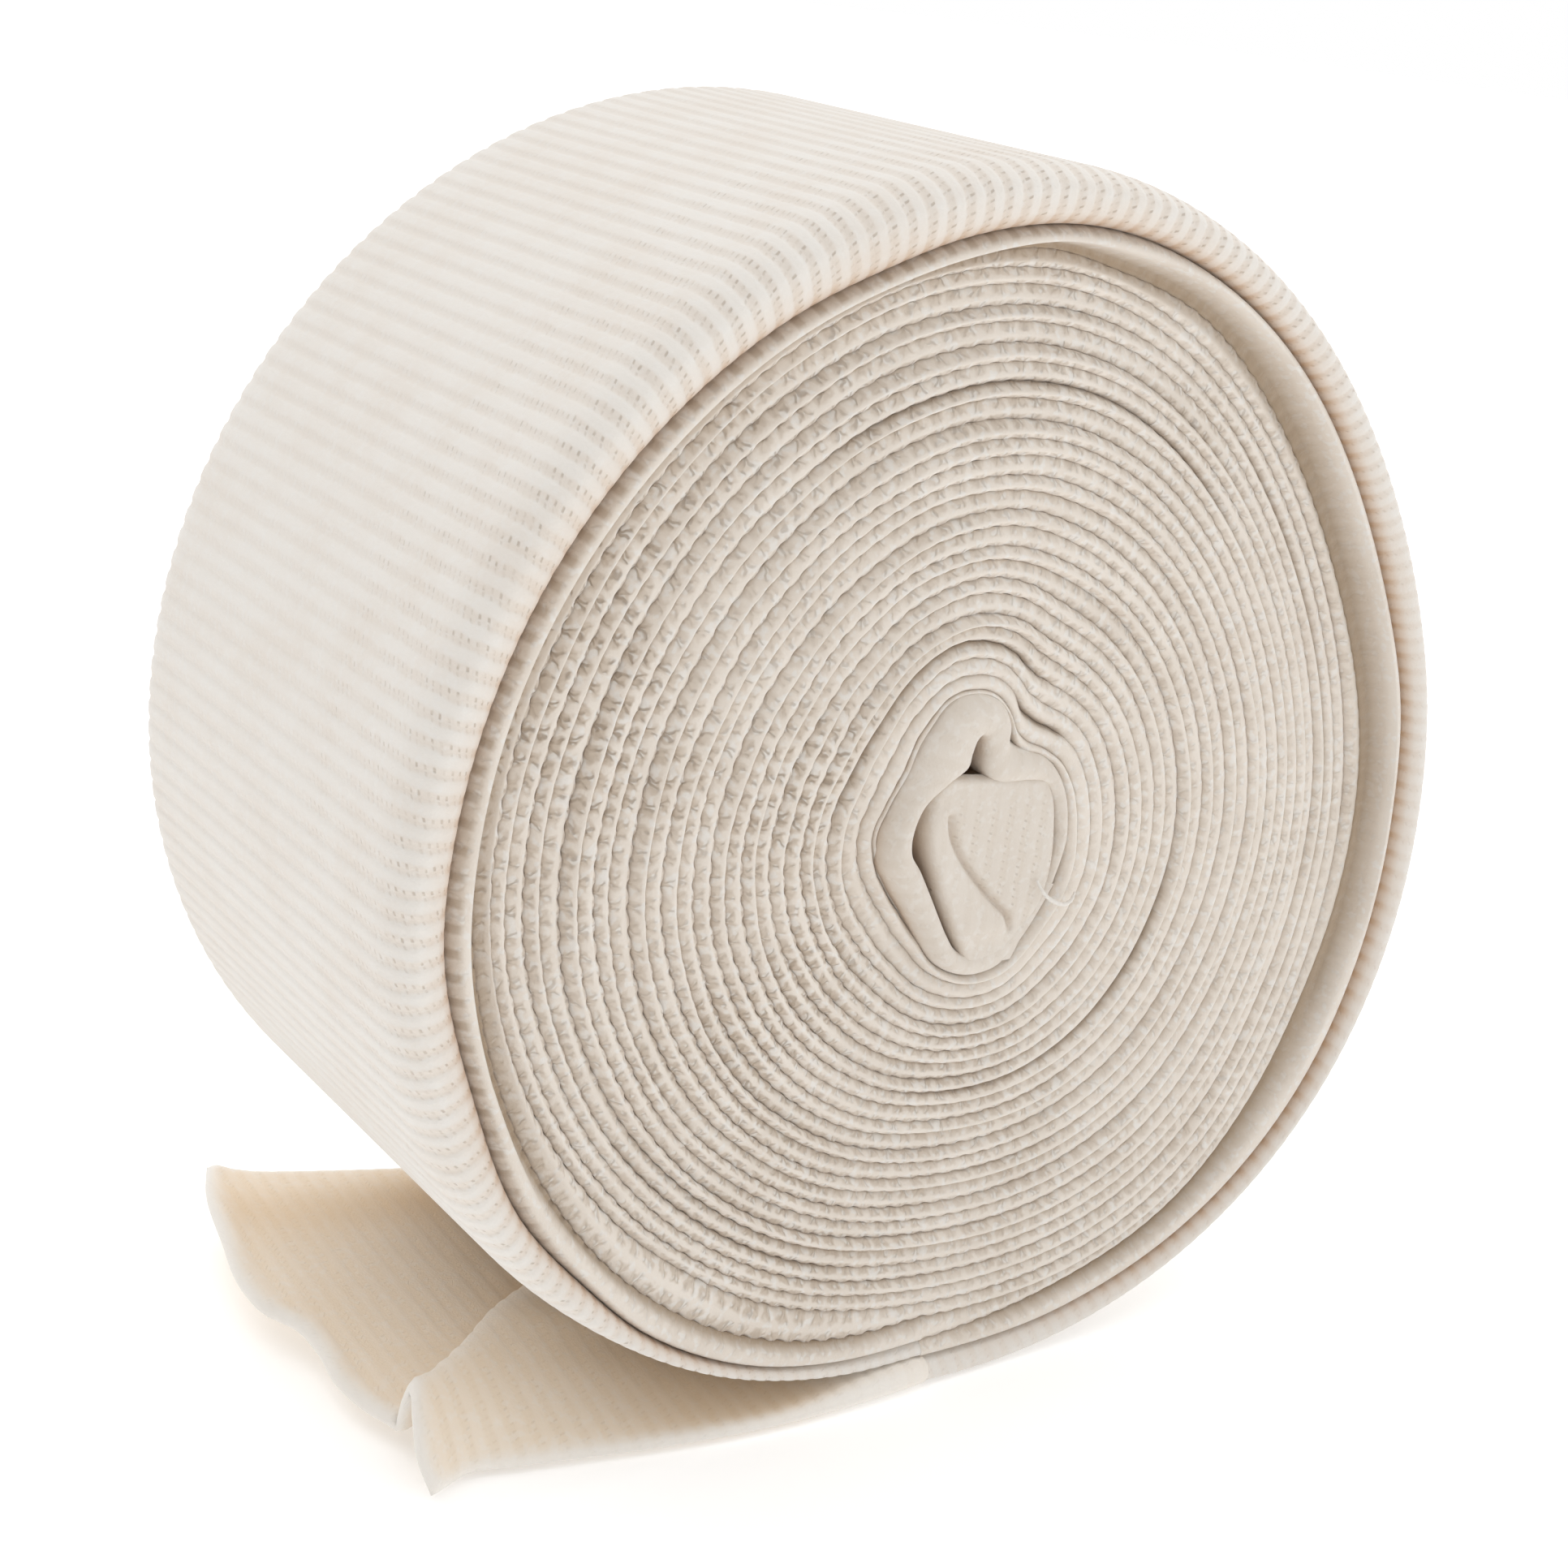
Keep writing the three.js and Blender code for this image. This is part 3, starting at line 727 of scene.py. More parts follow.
def wind_turns(name, start, end, per_rib, material):
    """Turns of the flattened tube seen on edge. Each section falls from its crest to the groove on either
    side by a power of the share of the way there, the same at the back, with straight walls between.
    Between ribs the flanks and grooves lie deeper, where the knit is open."""
    roll, knit, _ = settings()
    width = roll.width / MM
    theta, ribs = rib_columns(start, end, knit.end_rib / MM, per_rib)
    outer = edge(theta)[:, None]
    inner = edge(theta + 360)[:, None] + TURN_GAP
    flank = np.concatenate([FRONT_FLANKS, BACK_FLANKS])
    is_front = np.arange(len(flank)) < len(FRONT_FLANKS)
    to_left = np.cos(np.radians(theta - LEAN["towards"]))[:, None]
    turn = turn_of(theta)[:, None]
    is_second = ease(turn, 0.99, 1.06) * ease(turn, 2.06, 1.94)
    crest_share = 0.5 + LEAN["by"] * to_left
    beaded = ease(to_left, 0.1, 0.7)
    crest_share = mix(crest_share, 0.25 + 0.3 * beaded, is_second)
    share = np.where(flank < 0, crest_share * (1 + flank), crest_share + (1 - crest_share) * flank)
    on_left = 0.5 + 0.5 * to_left
    sharpness = mix(SHARPNESS["right"], SHARPNESS["left"], on_left)
    sharpness = mix(sharpness, SHARPNESS["second"], is_second)
    at_bottom = ease(-np.sin(np.radians(theta)), 0.2, 0.8)[:, None]
    shoulder = ease(flank, 0.12 + 0.35 * at_bottom, 0.45 + 0.5 * at_bottom)
    in_window = (1 - raised(ribs))[:, None]
    smooth = (1 - 0.75 * ease(turn, roll.turns - 5, roll.turns - 1)) * (1 - 0.6 * is_second)
    window = around(WINDOWS, "window", theta)[:, None] * smooth
    top = crest(theta)[:, None]
    bottom = np.where(flank < 0, groove(theta)[:, None], groove(theta + 360)[:, None])
    bottom = bottom + GROOVE_BETWEEN * in_window * window
    low = np.abs(flank) ** sharpness
    low = mix(low, shoulder, is_second * ((flank > 0) & is_front))
    depth = mix(top, bottom, low)
    depth = np.where(is_front, depth, width - depth)
    radius = mix(outer, inner, share)
    rings = place(theta[:, None], radius, depth)
    across = np.broadcast_to(np.concatenate([flank, [-1]]), (len(theta), len(flank) + 1))
    uv = np.stack([np.broadcast_to(ribs[:, None], across.shape), across], -1)
    tint = np.zeros(rings.shape)
    # Painted shade in the red share: tan in every groove, more in open gaps and near the core on the left.
    # Also tan beads in the second turn's outer groove, its inner flank falling into the dip, and the outer
    # flank of the turn that leads into the dip.
    gap = np.where(flank < 0, open_gap(theta)[:, None], open_gap(theta + 360)[:, None])
    painted_bead_shade = is_second * ease(-flank, 0.2, 0.6) * (0.1 + beaded * (0.15 + 0.45 * in_window))
    painted_fall_shade = 0.9 * is_second * shoulder
    dip = 0.45 * (1 - at_bottom) * ease(turn, 3.4, 2.8) * (1 - is_second) * ease(-flank, -0.5, 0.2)
    near_core = 0.5 * ease(turn, roll.turns - 2.2, roll.turns - 0.5) * on_left
    in_groove = ease(np.abs(flank), 0.45, 1.0) * (0.12 + gap + near_core)
    tint[..., 0] = np.clip(in_groove + painted_bead_shade + painted_fall_shade + dip, 0, 1)
    tint[..., 1] = window
    tint[..., 2] = around(WINDOWS, "stitch", theta)[:, None] * smooth
    return add_wound_piece(name, rings, uv, tint, material)


def fold_core_band(material):
    """The innermost cloth: an arched strip between two edge curves through the table's pairs of points,
    with the same closed section as a turn."""
    roll, _, _ = settings()
    width = roll.width / MM
    lines = curves(CORE_BAND, along_rows(CORE_BAND, BAND_POINTS["along"]))
    outer_x, outer_z, inner_x, inner_z, top, foot = (line[:, None] for line in lines)
    front = np.linspace(0, np.pi, BAND_POINTS["front"])
    back = np.linspace(np.pi, 0, BAND_POINTS["back"])
    crown = len(front) // 2
    sweep = np.concatenate([front, back])
    share = 0.5 - 0.5 * np.cos(sweep)
    x = mix(outer_x, inner_x, share)
    z = mix(outer_z, inner_z, share)
    soft = np.sin(sweep) ** 0.7
    bottom = np.where(sweep < np.pi / 2, CORE_BAND_BOTTOM, foot)
    depth = mix(top, bottom, 1 - soft)
    is_front = np.arange(len(sweep)) < len(front)
    depth = np.where(is_front, depth, width - depth)
    rings = in_plane(x, z, depth)
    along = path_length(rings)
    along = np.concatenate([along - along[:, [crown]], along[:, -1:] + SEAM], 1)
    length = path_length(rings[:, crown])
    uv = np.stack([np.broadcast_to((length / CORE_RIB)[:, None], along.shape), along], -1)
    tint = np.zeros(rings.shape)
    # Painted shade: the band is tinted tan down its sides towards its foot, more on its outer side at the
    # left.
    to_left = ease(-outer_x, 2, 12)
    tint[..., 0] = ease(1 - soft, 0.25, 0.9) * (0.45 + 0.5 * to_left * (sweep < np.pi / 2))
    tint[..., 2] = 0.12
    return add_wound_piece("core_band", rings, uv, tint, material)


def fold_core_flap(material):
    """The flap: a closed cloth between two edge curves, rounded over at its left, top and right, with a
    trough along the crease, a fuller side left of it and a flatter, ribbed panel right of it. It goes
    through the roll, and its back is the same."""
    roll, _, _ = settings()
    lines = curves(CORE_FLAP, along_rows(CORE_FLAP, FLAP_POINTS["along"]))
    left_x, left_z, right_x, right_z = (line[:, None] for line in lines)
    sweep = np.linspace(0, np.pi, FLAP_POINTS["across"])
    share = 0.5 - 0.5 * np.cos(sweep)
    x = mix(left_x, right_x, share)
    z = mix(left_z, right_z, share)
    crease_x, crease_z = curves(CREASE, along_rows(CREASE, FLAP_POINTS["crease"]))
    away = np.hypot(x[..., None] - crease_x, z[..., None] - crease_z)
    nearest = away.argmin(-1)
    distance = away.min(-1)
    right_of = ease((x - crease_x[nearest]) + (z - crease_z[nearest]), -0.3, 0.3)
    fades = ease(z, 6.2, 2.0) * ease(z, -16.5, -12.5)
    trough = np.exp(-((distance / 0.5) ** 2)) * fades
    fuller = (1 - right_of) * 0.8 * ease(distance, 0.2, 2.2) * fades
    ribs = 0.5 + 0.5 * np.cos(2 * np.pi * x / CORE_RIB)
    merging = ease(z, -10, -15)
    edges = {"left": (left_x, left_z, 1), "right": (right_x, right_z, 1 - merging), "top": (x[0], z[0], 1)}
    rounding = 0
    for row in FLAP_ROUNDING:
        edge_x, edge_z, whole = edges[row["side"]]
        in_from = np.clip(np.hypot(x - edge_x, z - edge_z) / row["width"], 0, 1)
        rounding = rounding + row["down"] * (1 - in_from**0.5) ** 2 * whole
    depth = 2.3 + 1.0 * trough - fuller + rounding - 0.07 * ribs * right_of * fades
    depth += merging * (0.1 * x - 0.3)
    front = in_plane(x, z, depth)
    back = in_plane(x, z, roll.width / MM - depth)[:, ::-1]
    rings = np.concatenate([front, back], 1)
    flat = np.stack([x / CORE_RIB, z], -1)
    uv = np.concatenate([flat, flat[:, ::-1], flat[:, :1]], 1)
    tint = np.zeros(rings.shape)
    # Painted shade: tan in the trough along the crease and where the flap is rounded over.
    tint[:, : x.shape[1], 0] = np.clip(0.35 * trough + rounding / 3.2, 0, 1) * 0.7
    tint[:, : x.shape[1], 2] = 0.1 + 0.3 * right_of * fades
    return add_wound_piece("core_flap", rings, uv, tint, material)


def fill_core(material):
    """The cloth deep inside the core: a plug through the roll that reaches under the innermost turn, coloured
    dark tan all over as painted shade.
    """
    roll, _, _ = settings()
    width = roll.width / MM
    degrees = np.linspace(START, START + 360, FILLING_POINTS + 1)[:-1]
    depths = np.array([CORE_FLOOR, CORE_FLOOR + 2, width - CORE_FLOOR - 2, width - CORE_FLOOR])
    reach = around(CORE_EDGE, "radius", degrees) + CORE_MARGIN
    rings = place(degrees[None, :], np.broadcast_to(reach, (len(depths), len(degrees))), depths[:, None])
    uv = np.zeros((len(depths), len(degrees) + 1, 2))
    tint = np.zeros(rings.shape)
    # Painted shade: the whole plug takes the deep colour.
    tint[..., 0] = 1
    return add_wound_piece("core_filling", rings, uv, tint, material)


def lay_thread(material):
    """A loose white thread at the core: a thin round section carried along a curve through the table."""
    at = along_rows(THREAD, THREAD_POINTS["along"])
    line = in_plane(*curves(THREAD, at))
    along = np.gradient(line, axis=0)
    along /= np.linalg.norm(along, axis=1)[:, None]
    outward = np.array([0.0, -1.0, 0.0])
    side = np.cross(along, outward)
    side /= np.linalg.norm(side, axis=1)[:, None]
    up = np.cross(side, along)
    around_it = np.linspace(0, 2 * np.pi, THREAD_POINTS["around"] + 1)[:-1]
    thick = THREAD_RADIUS * (0.4 + 0.6 * np.sin(np.pi * np.linspace(0.02, 0.98, len(at))) ** 0.5)
    thick *= 1 + 0.25 * np.sin(9 * at) * np.sin(23 * at)
    offset = side[:, None] * np.cos(around_it)[:, None] + up[:, None] * np.sin(around_it)[:, None]
    rings = line[:, None] + thick[:, None, None] * offset
    uv = np.zeros((len(at), len(around_it) + 1, 2))
    tint = np.zeros(rings.shape)
    return add_wound_piece("loose_thread", rings, uv, tint, material)


# The loose end's columns for each rib along it, its rows across it, the pitch of its ribs, the share of
# its width that each edge is rounded over, and how far it is rounded at the cut.
LOOSE_COLUMNS = 8
LOOSE_ACROSS = 72
LOOSE_RIB = 3.1
EDGE_ROUND = 0.022
CUT_ROUND = 1.3
LOOSE_LENGTH = 80


def loose_thickness(along):
    """Thickness of the loose cloth: the flattened tube's, and more where it joins the roll."""
    roll, _, _ = settings()
    near_roll = ease(along, ROOT_THICKNESS["to"], ROOT_THICKNESS["from"])
    return roll.cloth / MM + ROOT_THICKNESS["extra"] * near_roll


def loose_middle(length_share, width_share):
    """Middle of the loose cloth from its shares of length and width: it rises as a quarter wave from the
    near edge to the ridge, drops by a smooth step into the valley and rises evenly to the far edge."""
    roll, _, _ = settings()
    reach = curves(CUT_EDGE, width_share, "across")[0]
    along = LOOSE_ROOT + length_share * (reach - LOOSE_ROOT)
    near_y, ridge_y, ridge_z, valley_z, far_y, far_z = curves(LOOSE_STATIONS, along, "along")
    eased = ease(along, RIDGE_SHARE["from"], RIDGE_SHARE["to"])
    ridge = mix(RIDGE_SHARE["at_roll"], RIDGE_SHARE["at_cut"], eased)
    in_front = np.clip(width_share / ridge, 0, 1)
    drop = np.clip((width_share - ridge) / DROP_SHARE, 0, 1)
    behind = np.clip((width_share - ridge - DROP_SHARE) / (1 - ridge - DROP_SHARE), 0, 1)
    valley_y = ridge_y + (0.95 - 0.8 * eased) * DROP_SHARE * roll.width / MM
    depth = mix(near_y, ridge_y, in_front) + (valley_y - ridge_y) * drop
    depth = depth + (far_y - valley_y) * behind
    height = ridge_z * np.sin(np.pi / 2 * in_front) + (valley_z - ridge_z) * ease(drop, 0, 1)
    height = height + (far_z - valley_z) * behind**1.2
    fold = SECOND_FOLD
    shown = ease(along, fold["from"], fold["from"] + 8) * ease(along, fold["to"], fold["to"] - 12)
    towards = (along - fold["from"]) / (fold["to"] - fold["from"])
    fold_y = mix(fold["depth_at_roll"], fold["depth_at_ridge"], towards)
    height = height + fold["height"] * shown * np.exp(-(((depth - fold_y) / fold["width"]) ** 2))
    height = height + loose_thickness(along) / 2
    middle = np.stack([LOOSE_ROOT_X - along, depth - roll.width / MM / 2, height], -1)
    return middle, along, reach - along, ridge


def lay_loose_end(material):
    """The loose end: a closed sheet as thick as the flattened tube, on its solid's ridge and valley, with
    rounded edges, an uneven cut and ribs across it that lower the strip between them on its upper side.
    Its columns are closer at the cut, and its rows are closer at both edges."""
    _, knit, _ = settings()
    columns = int(LOOSE_LENGTH / LOOSE_RIB * LOOSE_COLUMNS)
    at_the_cut = 1 - 0.015 * np.linspace(0.8, 0, 5) ** 2
    length_share = np.concatenate([np.linspace(0, 0.985, columns), at_the_cut])[:, None]
    sweep = np.linspace(0, np.pi, LOOSE_ACROSS + 1)
    across = (0.5 - 0.5 * np.cos(sweep)) * 0.5 + np.linspace(0, 1, LOOSE_ACROSS + 1) * 0.5
    across = across[None, :]
    middle, along, to_cut, ridge = loose_middle(length_share, across)
    slope = np.gradient(middle, axis=1)
    slope[..., 0] = 0
    slope /= np.linalg.norm(slope, axis=-1)[..., None]
    up = np.stack([0 * slope[..., 0], -slope[..., 2], slope[..., 1]], -1)
    from_edge = np.minimum(across, 1 - across)
    at_edge = 1 - np.clip(from_edge / EDGE_ROUND, 0, 1)
    at_cut = 1 - np.clip(to_cut / CUT_ROUND, 0, 1)
    half = loose_thickness(along) / 2 * np.sqrt(np.clip((1 - at_edge**2) * (1 - at_cut**2), 0.02, 1))
    ribs = along / LOOSE_RIB
    sunk = 0.7 * knit.relief / MM * (1 - raised(ribs)) * (1 - at_edge) * (1 - at_cut)
    lip = 0.35 * np.exp(-((to_cut - 1.6) / 1.4) ** 2)
    upper = middle + up * (half * (1 + lip) - sunk)[..., None]
    lower = middle - up * half[..., None]
    lower[..., 2] = np.maximum(lower[..., 2], 0)
    upper[..., 2] = np.maximum(upper[..., 2], lower[..., 2] + 0.15)
    rings = np.concatenate([upper, lower[:, ::-1]], 1)
    flat = np.stack([ribs, path_length(upper)], -1)
    uv = np.concatenate([flat, flat[:, ::-1], flat[:, :1]], 1)
    # Painted shade: tan near the roll, where the roll shades the cloth, and in the valley behind the ridge. A
    # tan strip also runs along the far edge.
    near_roll = ease(along, 56, 26)
    far_strip = np.exp(-(((across - 0.86) / 0.09) ** 2))
    valley = np.exp(-(((across - ridge - 0.08) / 0.06) ** 2)) * ease(along, 70, 40)
    tan = np.clip(0.6 * near_roll * ease(along, 0, 16) + 0.5 * far_strip + 0.4 * valley, 0, 1)
    # Pale marks at the cut, along both edges and near the root, and a painted highlight along the ridge's
    # crest.
    lips = np.exp(-((to_cut / 1.9) ** 2)) + np.exp(-((from_edge / 0.016) ** 2))
    painted_ridge_highlight = 0.5 * np.exp(-(((across - ridge) / 0.025) ** 2))
    lips = np.clip(lips * ease(along, -2, 20) + painted_ridge_highlight + 0.8 * ease(along, 22, 4), 0, 1)
    shades = np.stack([tan * (1 - lips), lips, 0.3 + 0 * lips], -1)
    tint = np.concatenate([shades, shades[:, ::-1]], 1)
    mesh = closed_sheet("loose_cloth", rings, uv, tint)
    piece = add_piece("loose_cloth", mesh, material, ["loose_end"])
    return piece


def linear(hex_colour):
    """A hex colour as seen on screen, turned into linear light."""
    parts = [int(hex_colour[i:i + 2], 16) / 255 for i in (0, 2, 4)]
    return [c / 12.92 if c <= 0.04045 else ((c + 0.055) / 1.055) ** 2.4 for c in parts] + [1.0]


def add_node(tree, kind, inputs=(), **properties):
    """Adds a node with its properties, gives each input a value or a link, and returns its outputs."""
    node = tree.nodes.new(kind)
    for name, value in properties.items():
        setattr(node, name, value)
    for name, value in dict(inputs).items():
        if isinstance(value, bpy.types.NodeSocket):
            tree.links.new(value, node.inputs[name])
        else:
            node.inputs[name].default_value = value
    return node.outputs


# Steps of a pattern, one node each: the result's name, the step and what it takes, which are numbers
# or the names of results before it. A fade goes smoothly from 0 to 1 between its last two numbers.
RIB_STEPS = [
    ("ribs_astray", "MULTIPLY_ADD", "wander", "rib_wander", "ribs"),
    ("part_of_rib", "FRACT", "ribs_astray"),
    ("side", "SUBTRACT", "part_of_rib", 0.5),
    ("off", "ABSOLUTE", "side"),
    ("mottled", "FADE", "mottle", 0.35, 0.70),
    ("patchy", "FADE", "patches", 0.35, 0.65),
    ("broken", "FADE", "speckle", 0.38, 0.62),
    ("whole", "MULTIPLY_ADD", "broken", 0.8, 0.25),
]
# Two rows of slanted stitch holes in the strip between ribs, one clear and one faint.
FLAT_STEPS = [
    ("in_strip", "FADE", "off", 0.34, 0.12),
    ("from_row", "ADD", "side", 0.09),
    ("off_row", "ABSOLUTE", "from_row"),
    ("row", "FADE", "off_row", 0.13, 0.05),
    ("from_second", "SUBTRACT", "side", 0.17),
    ("off_second", "ABSOLUTE", "from_second"),
    ("second_row", "FADE", "off_second", 0.11, 0.04),
    ("rows", "MULTIPLY_ADD", "second_row", 0.45, "row"),
    ("count", "DIVIDE", "along", "stitch_length"),
    ("slanted", "MULTIPLY_ADD", "side", 1.2, "count"),
    ("turned", "MULTIPLY", "slanted", 6.2832),
    ("wave", "SINE", "turned"),
    ("dot", "FADE", "wave", 0.35, 1.0),
    ("dots_in_rows", "MULTIPLY", "dot", "rows"),
    ("dots", "MULTIPLY", "dots_in_rows", "whole"),
    ("holes", "MULTIPLY", "dots", "stitches"),
    ("strip_share", "MULTIPLY_ADD", "stitches", 0.45, 0.14),
    ("open", "MULTIPLY", "in_strip", "strip_share"),
    ("pale", "MULTIPLY", "windows", 0.85),
]
# On edge, a window between ribs on each flank, darker partly in the knit's own tone and partly as painted
# shade in the recess, with two strands in it that meet as a V.
EDGE_STEPS = [
    ("even_low", "ABSOLUTE", "along"),
    ("wander_down", "SUBTRACT", "speckle", 0.5),
    ("low", "MULTIPLY_ADD", "wander_down", 0.9, "even_low"),
    ("on_flank", "FADE", "low", 0.08, 0.42),
    ("between_ribs", "FADE", "off", 0.44, 0.27),
    ("window", "MULTIPLY", "between_ribs", "on_flank"),
    ("shown", "MULTIPLY_ADD", "patchy", 0.5, 0.5),
    ("open_here", "MULTIPLY", "windows", "shown"),
    ("open", "MULTIPLY", "window", "open_here"),
    ("height_left", "SUBTRACT", 1.0, "low"),
    ("arm", "MULTIPLY_ADD", "height_left", 0.20, 0.07),
    ("from_arm", "SUBTRACT", "off", "arm"),
    ("off_arm", "ABSOLUTE", "from_arm"),
    ("stroke", "FADE", "off_arm", 0.11, 0.02),
    ("short", "FADE", "low", 0.22, 0.5),
    ("short_stroke", "MULTIPLY", "stroke", "short"),
    ("strokes", "MULTIPLY", "short_stroke", "whole"),
    ("strokes_here", "MULTIPLY", "strokes", "shown"),
    ("holes", "MULTIPLY", "strokes_here", "stitches"),
]
COLOUR_STEPS = [
    ("mottled_a_little", "MULTIPLY", "mottled", 0.22),
    ("base", "MIX", "mottled_a_little", "cotton", "strip"),
    ("opened", "MIX", "open", "base", "strip"),
    ("flocked", "FADE", "speckle", 0.5, 0.68),
    ("flock_share", "MULTIPLY", "flocked", "flock"),
    ("flecked", "MIX", "flock_share", "opened", "worn"),
    ("holes_share", "MULTIPLY", "holes", 0.7),
    ("pierced", "MIX", "holes_share", "flecked", "hole"),
    # Painted shade: the red share mixes in the deep colour in grooves, hollows and under the roll. The pale
    # colour is random pale flecks, pale edges and a painted highlight on the loose end's ridge.
    ("painted_shade_share", "MULTIPLY", "in_groove", 0.8),
    ("painted_shade_mixed", "MIX", "painted_shade_share", "pierced", "deep"),
    ("lightened", "MIX", "pale", "painted_shade_mixed", "worn"),
    ("near_fleck", "FADE", "cell", 0.022, 0.012),
    ("chosen", "GREATER_THAN", "cell_number", 0.82),
    ("fleck", "MULTIPLY", "near_fleck", "chosen"),
    ("fleck_share", "MULTIPLY", "fleck", 0.7),
    ("coloured", "MIX", "fleck_share", "lightened", "husk"),
    ("fuzz", "MULTIPLY", "fibre", 0.6),
    ("height", "SUBTRACT", "fuzz", "holes"),
]
# Noise in the cloth, in cycles per metre: mottling about 11 mm across, patches of 25 mm, the speckle and
# wander of stitches over 1 to 2 mm, and fibres of 0.4 mm, coarser than real ones so that they show.
NOISES = table(
    "name scale detail",
    ("mottle", 90.0, 3.0),
    ("patches", 40.0, 4.0),
    ("speckle", 850.0, 1.0),
    ("wander", 520.0, 1.0),
    ("fibre", 2600.0, 2.0),
)
STEP_NODES = {
    "FADE": ("ShaderNodeMapRange", (0, 1, 2), 0, {"interpolation_type": "SMOOTHSTEP"}),
    "MIX": ("ShaderNodeMix", (0, 6, 7), 2, {"data_type": "RGBA"}),
}


def add_steps(tree, made, steps):
    """Adds a node for each step and puts its result into made, where later steps find it."""
    for name, step, *parts in steps:
        plain = ("ShaderNodeMath", (0, 1, 2), 0, {"operation": step})
        kind, sockets, result, properties = STEP_NODES.get(step, plain)
        inputs = {socket: made.get(part, part) for socket, part in zip(sockets, parts)}
        made[name] = add_node(tree, kind, inputs, **properties)[result]


def knit_material(row):
    """Ribbed unbleached cotton, knitted: pale raised ribs with a warmer open strip between them, in which
    slanted rows of stitch holes show. The eye reads soft, dry, slightly fuzzy cloth. On edge, the strips
    show as darker windows on both flanks of a turn, partly the knit's own tone and partly painted shade, and
    its crest stays pale. The Knit colour's red share mixes in painted shade."""
    _, knit, _ = settings()
    on_edge = row["on_edge"]
    material = bpy.data.materials.new(row["name"])
    material.use_nodes = True
    tree = material.node_tree
    tree.nodes.clear()
    stitches = add_node(tree, "ShaderNodeUVMap", uv_map="Stitches")["UV"]
    on_cloth = add_node(tree, "ShaderNodeSeparateXYZ", {0: stitches})
    shares = add_node(tree, "ShaderNodeAttribute", attribute_name="Knit")["Color"]
    shares = add_node(tree, "ShaderNodeSeparateColor", {0: shares})
    spot = add_node(tree, "ShaderNodeTexCoord")["Object"]
    # Flecks of seed husk are about a third of a millimetre across and centimetres apart.
    cells = add_node(tree, "ShaderNodeTexVoronoi", {"Vector": spot, "Scale": 60.0})
    made = {
        "ribs": on_cloth[0],
        "along": on_cloth[1],
        # The red share is painted shade, mixed towards the deep colour. The green share is the window on
        # edge; on flat cloth it lightens towards the pale colour, partly as a painted highlight.
        "in_groove": shares[0],
        "windows": shares[1],
        "stitches": shares[2],
        "pale": 0.0,
        "rib_wander": 0.75 if on_edge else 0.25,
        "flock": 0.65 if on_edge else 0.25,
        "cell": cells["Distance"],
        "cell_number": add_node(tree, "ShaderNodeSeparateColor", {0: cells["Color"]})[0],
        "stitch_length": knit.stitch / MM,
        "husk": linear("6b5138"),
    }
    made.update({part: linear(row[part]) for part in ("cotton", "strip", "hole", "deep", "worn")})
    for noise in NOISES:
        inputs = {"Vector": spot, "Scale": noise["scale"], "Detail": noise["detail"]}
        made[noise["name"]] = add_node(tree, "ShaderNodeTexNoise", inputs)["Fac"]
    add_steps(tree, made, RIB_STEPS)
    add_steps(tree, made, EDGE_STEPS if on_edge else FLAT_STEPS)
    add_steps(tree, made, COLOUR_STEPS)
    low_relief = {"Height": made["height"], "Strength": 0.5, "Distance": 0.00025}
    bump = add_node(tree, "ShaderNodeBump", low_relief)
    finish = {
        "Base Color": made["coloured"],
        "Normal": bump[0],
        "Roughness": 0.95,
        "Specular IOR Level": 0.15,
        "Sheen Weight": 0.25,
        "Sheen Roughness": 0.6,
    }
    shader = add_node(tree, "ShaderNodeBsdfPrincipled", finish)
    add_node(tree, "ShaderNodeOutputMaterial", {"Surface": shader[0]})
    return material


# The cloth's looks: pale and even on the outer turn, darker between the ribs where it is seen on edge, partly
# as painted shade, warm and creamy at the loose end, greyer in the folds of the core, and tan deep inside it
# as painted shade. Each deep colour is painted shade.
MATERIALS = table(
    "kind name on_edge cotton strip hole deep worn",
    ("surface", "unbleached_cotton_rib_knit", False, "ebe6df", "dfd1c2", "a8947f", "bb8f60", "eceae6"),
    ("edges", "unbleached_cotton_rib_knit_on_edge", True, "e9e0d5", "c9baa9", "9a8773", "967c5c", "ebe8e3"),
    ("loose", "unbleached_cotton_rib_knit_warm", False, "f6e9d8", "edd9bd", "c8ad88", "dfbd8f", "f6f2ec"),
    ("folds", "unbleached_cotton_rib_knit_folded", False, "dfd6cb", "d3c6b6", "9c8873", "b9966e", "eceae6"),
    ("deep", "unbleached_cotton_in_the_folds", False, "b08a66", "a07c5a", "80603f", "80603f", "b08a66"),
)


def cloth(kind):
    """The knit material of a kind, made once."""
    row = next(row for row in MATERIALS if row["kind"] == kind)
    return bpy.data.materials.get(row["name"]) or knit_material(row)


def camera_matrix():
    """The camera's place and turn: it looks back along an azimuth and elevation, rolled about its axis."""
    azimuth, elevation, roll = (np.radians(degrees) for degrees in CAMERA_TURN.values())
    level_share = np.cos(elevation)
    back = Vector((np.sin(azimuth) * level_share, -np.cos(azimuth) * level_share, np.sin(elevation)))
    level = Vector((np.cos(azimuth), np.sin(azimuth), 0))
    upright = back.cross(level)
    right = level * np.cos(roll) + upright * np.sin(roll)
    up = back.cross(right)
    turn = Matrix((right, up, back)).transposed().to_4x4()
    return Matrix.Translation(Vector(CAMERA_PLACE) * MM) @ turn


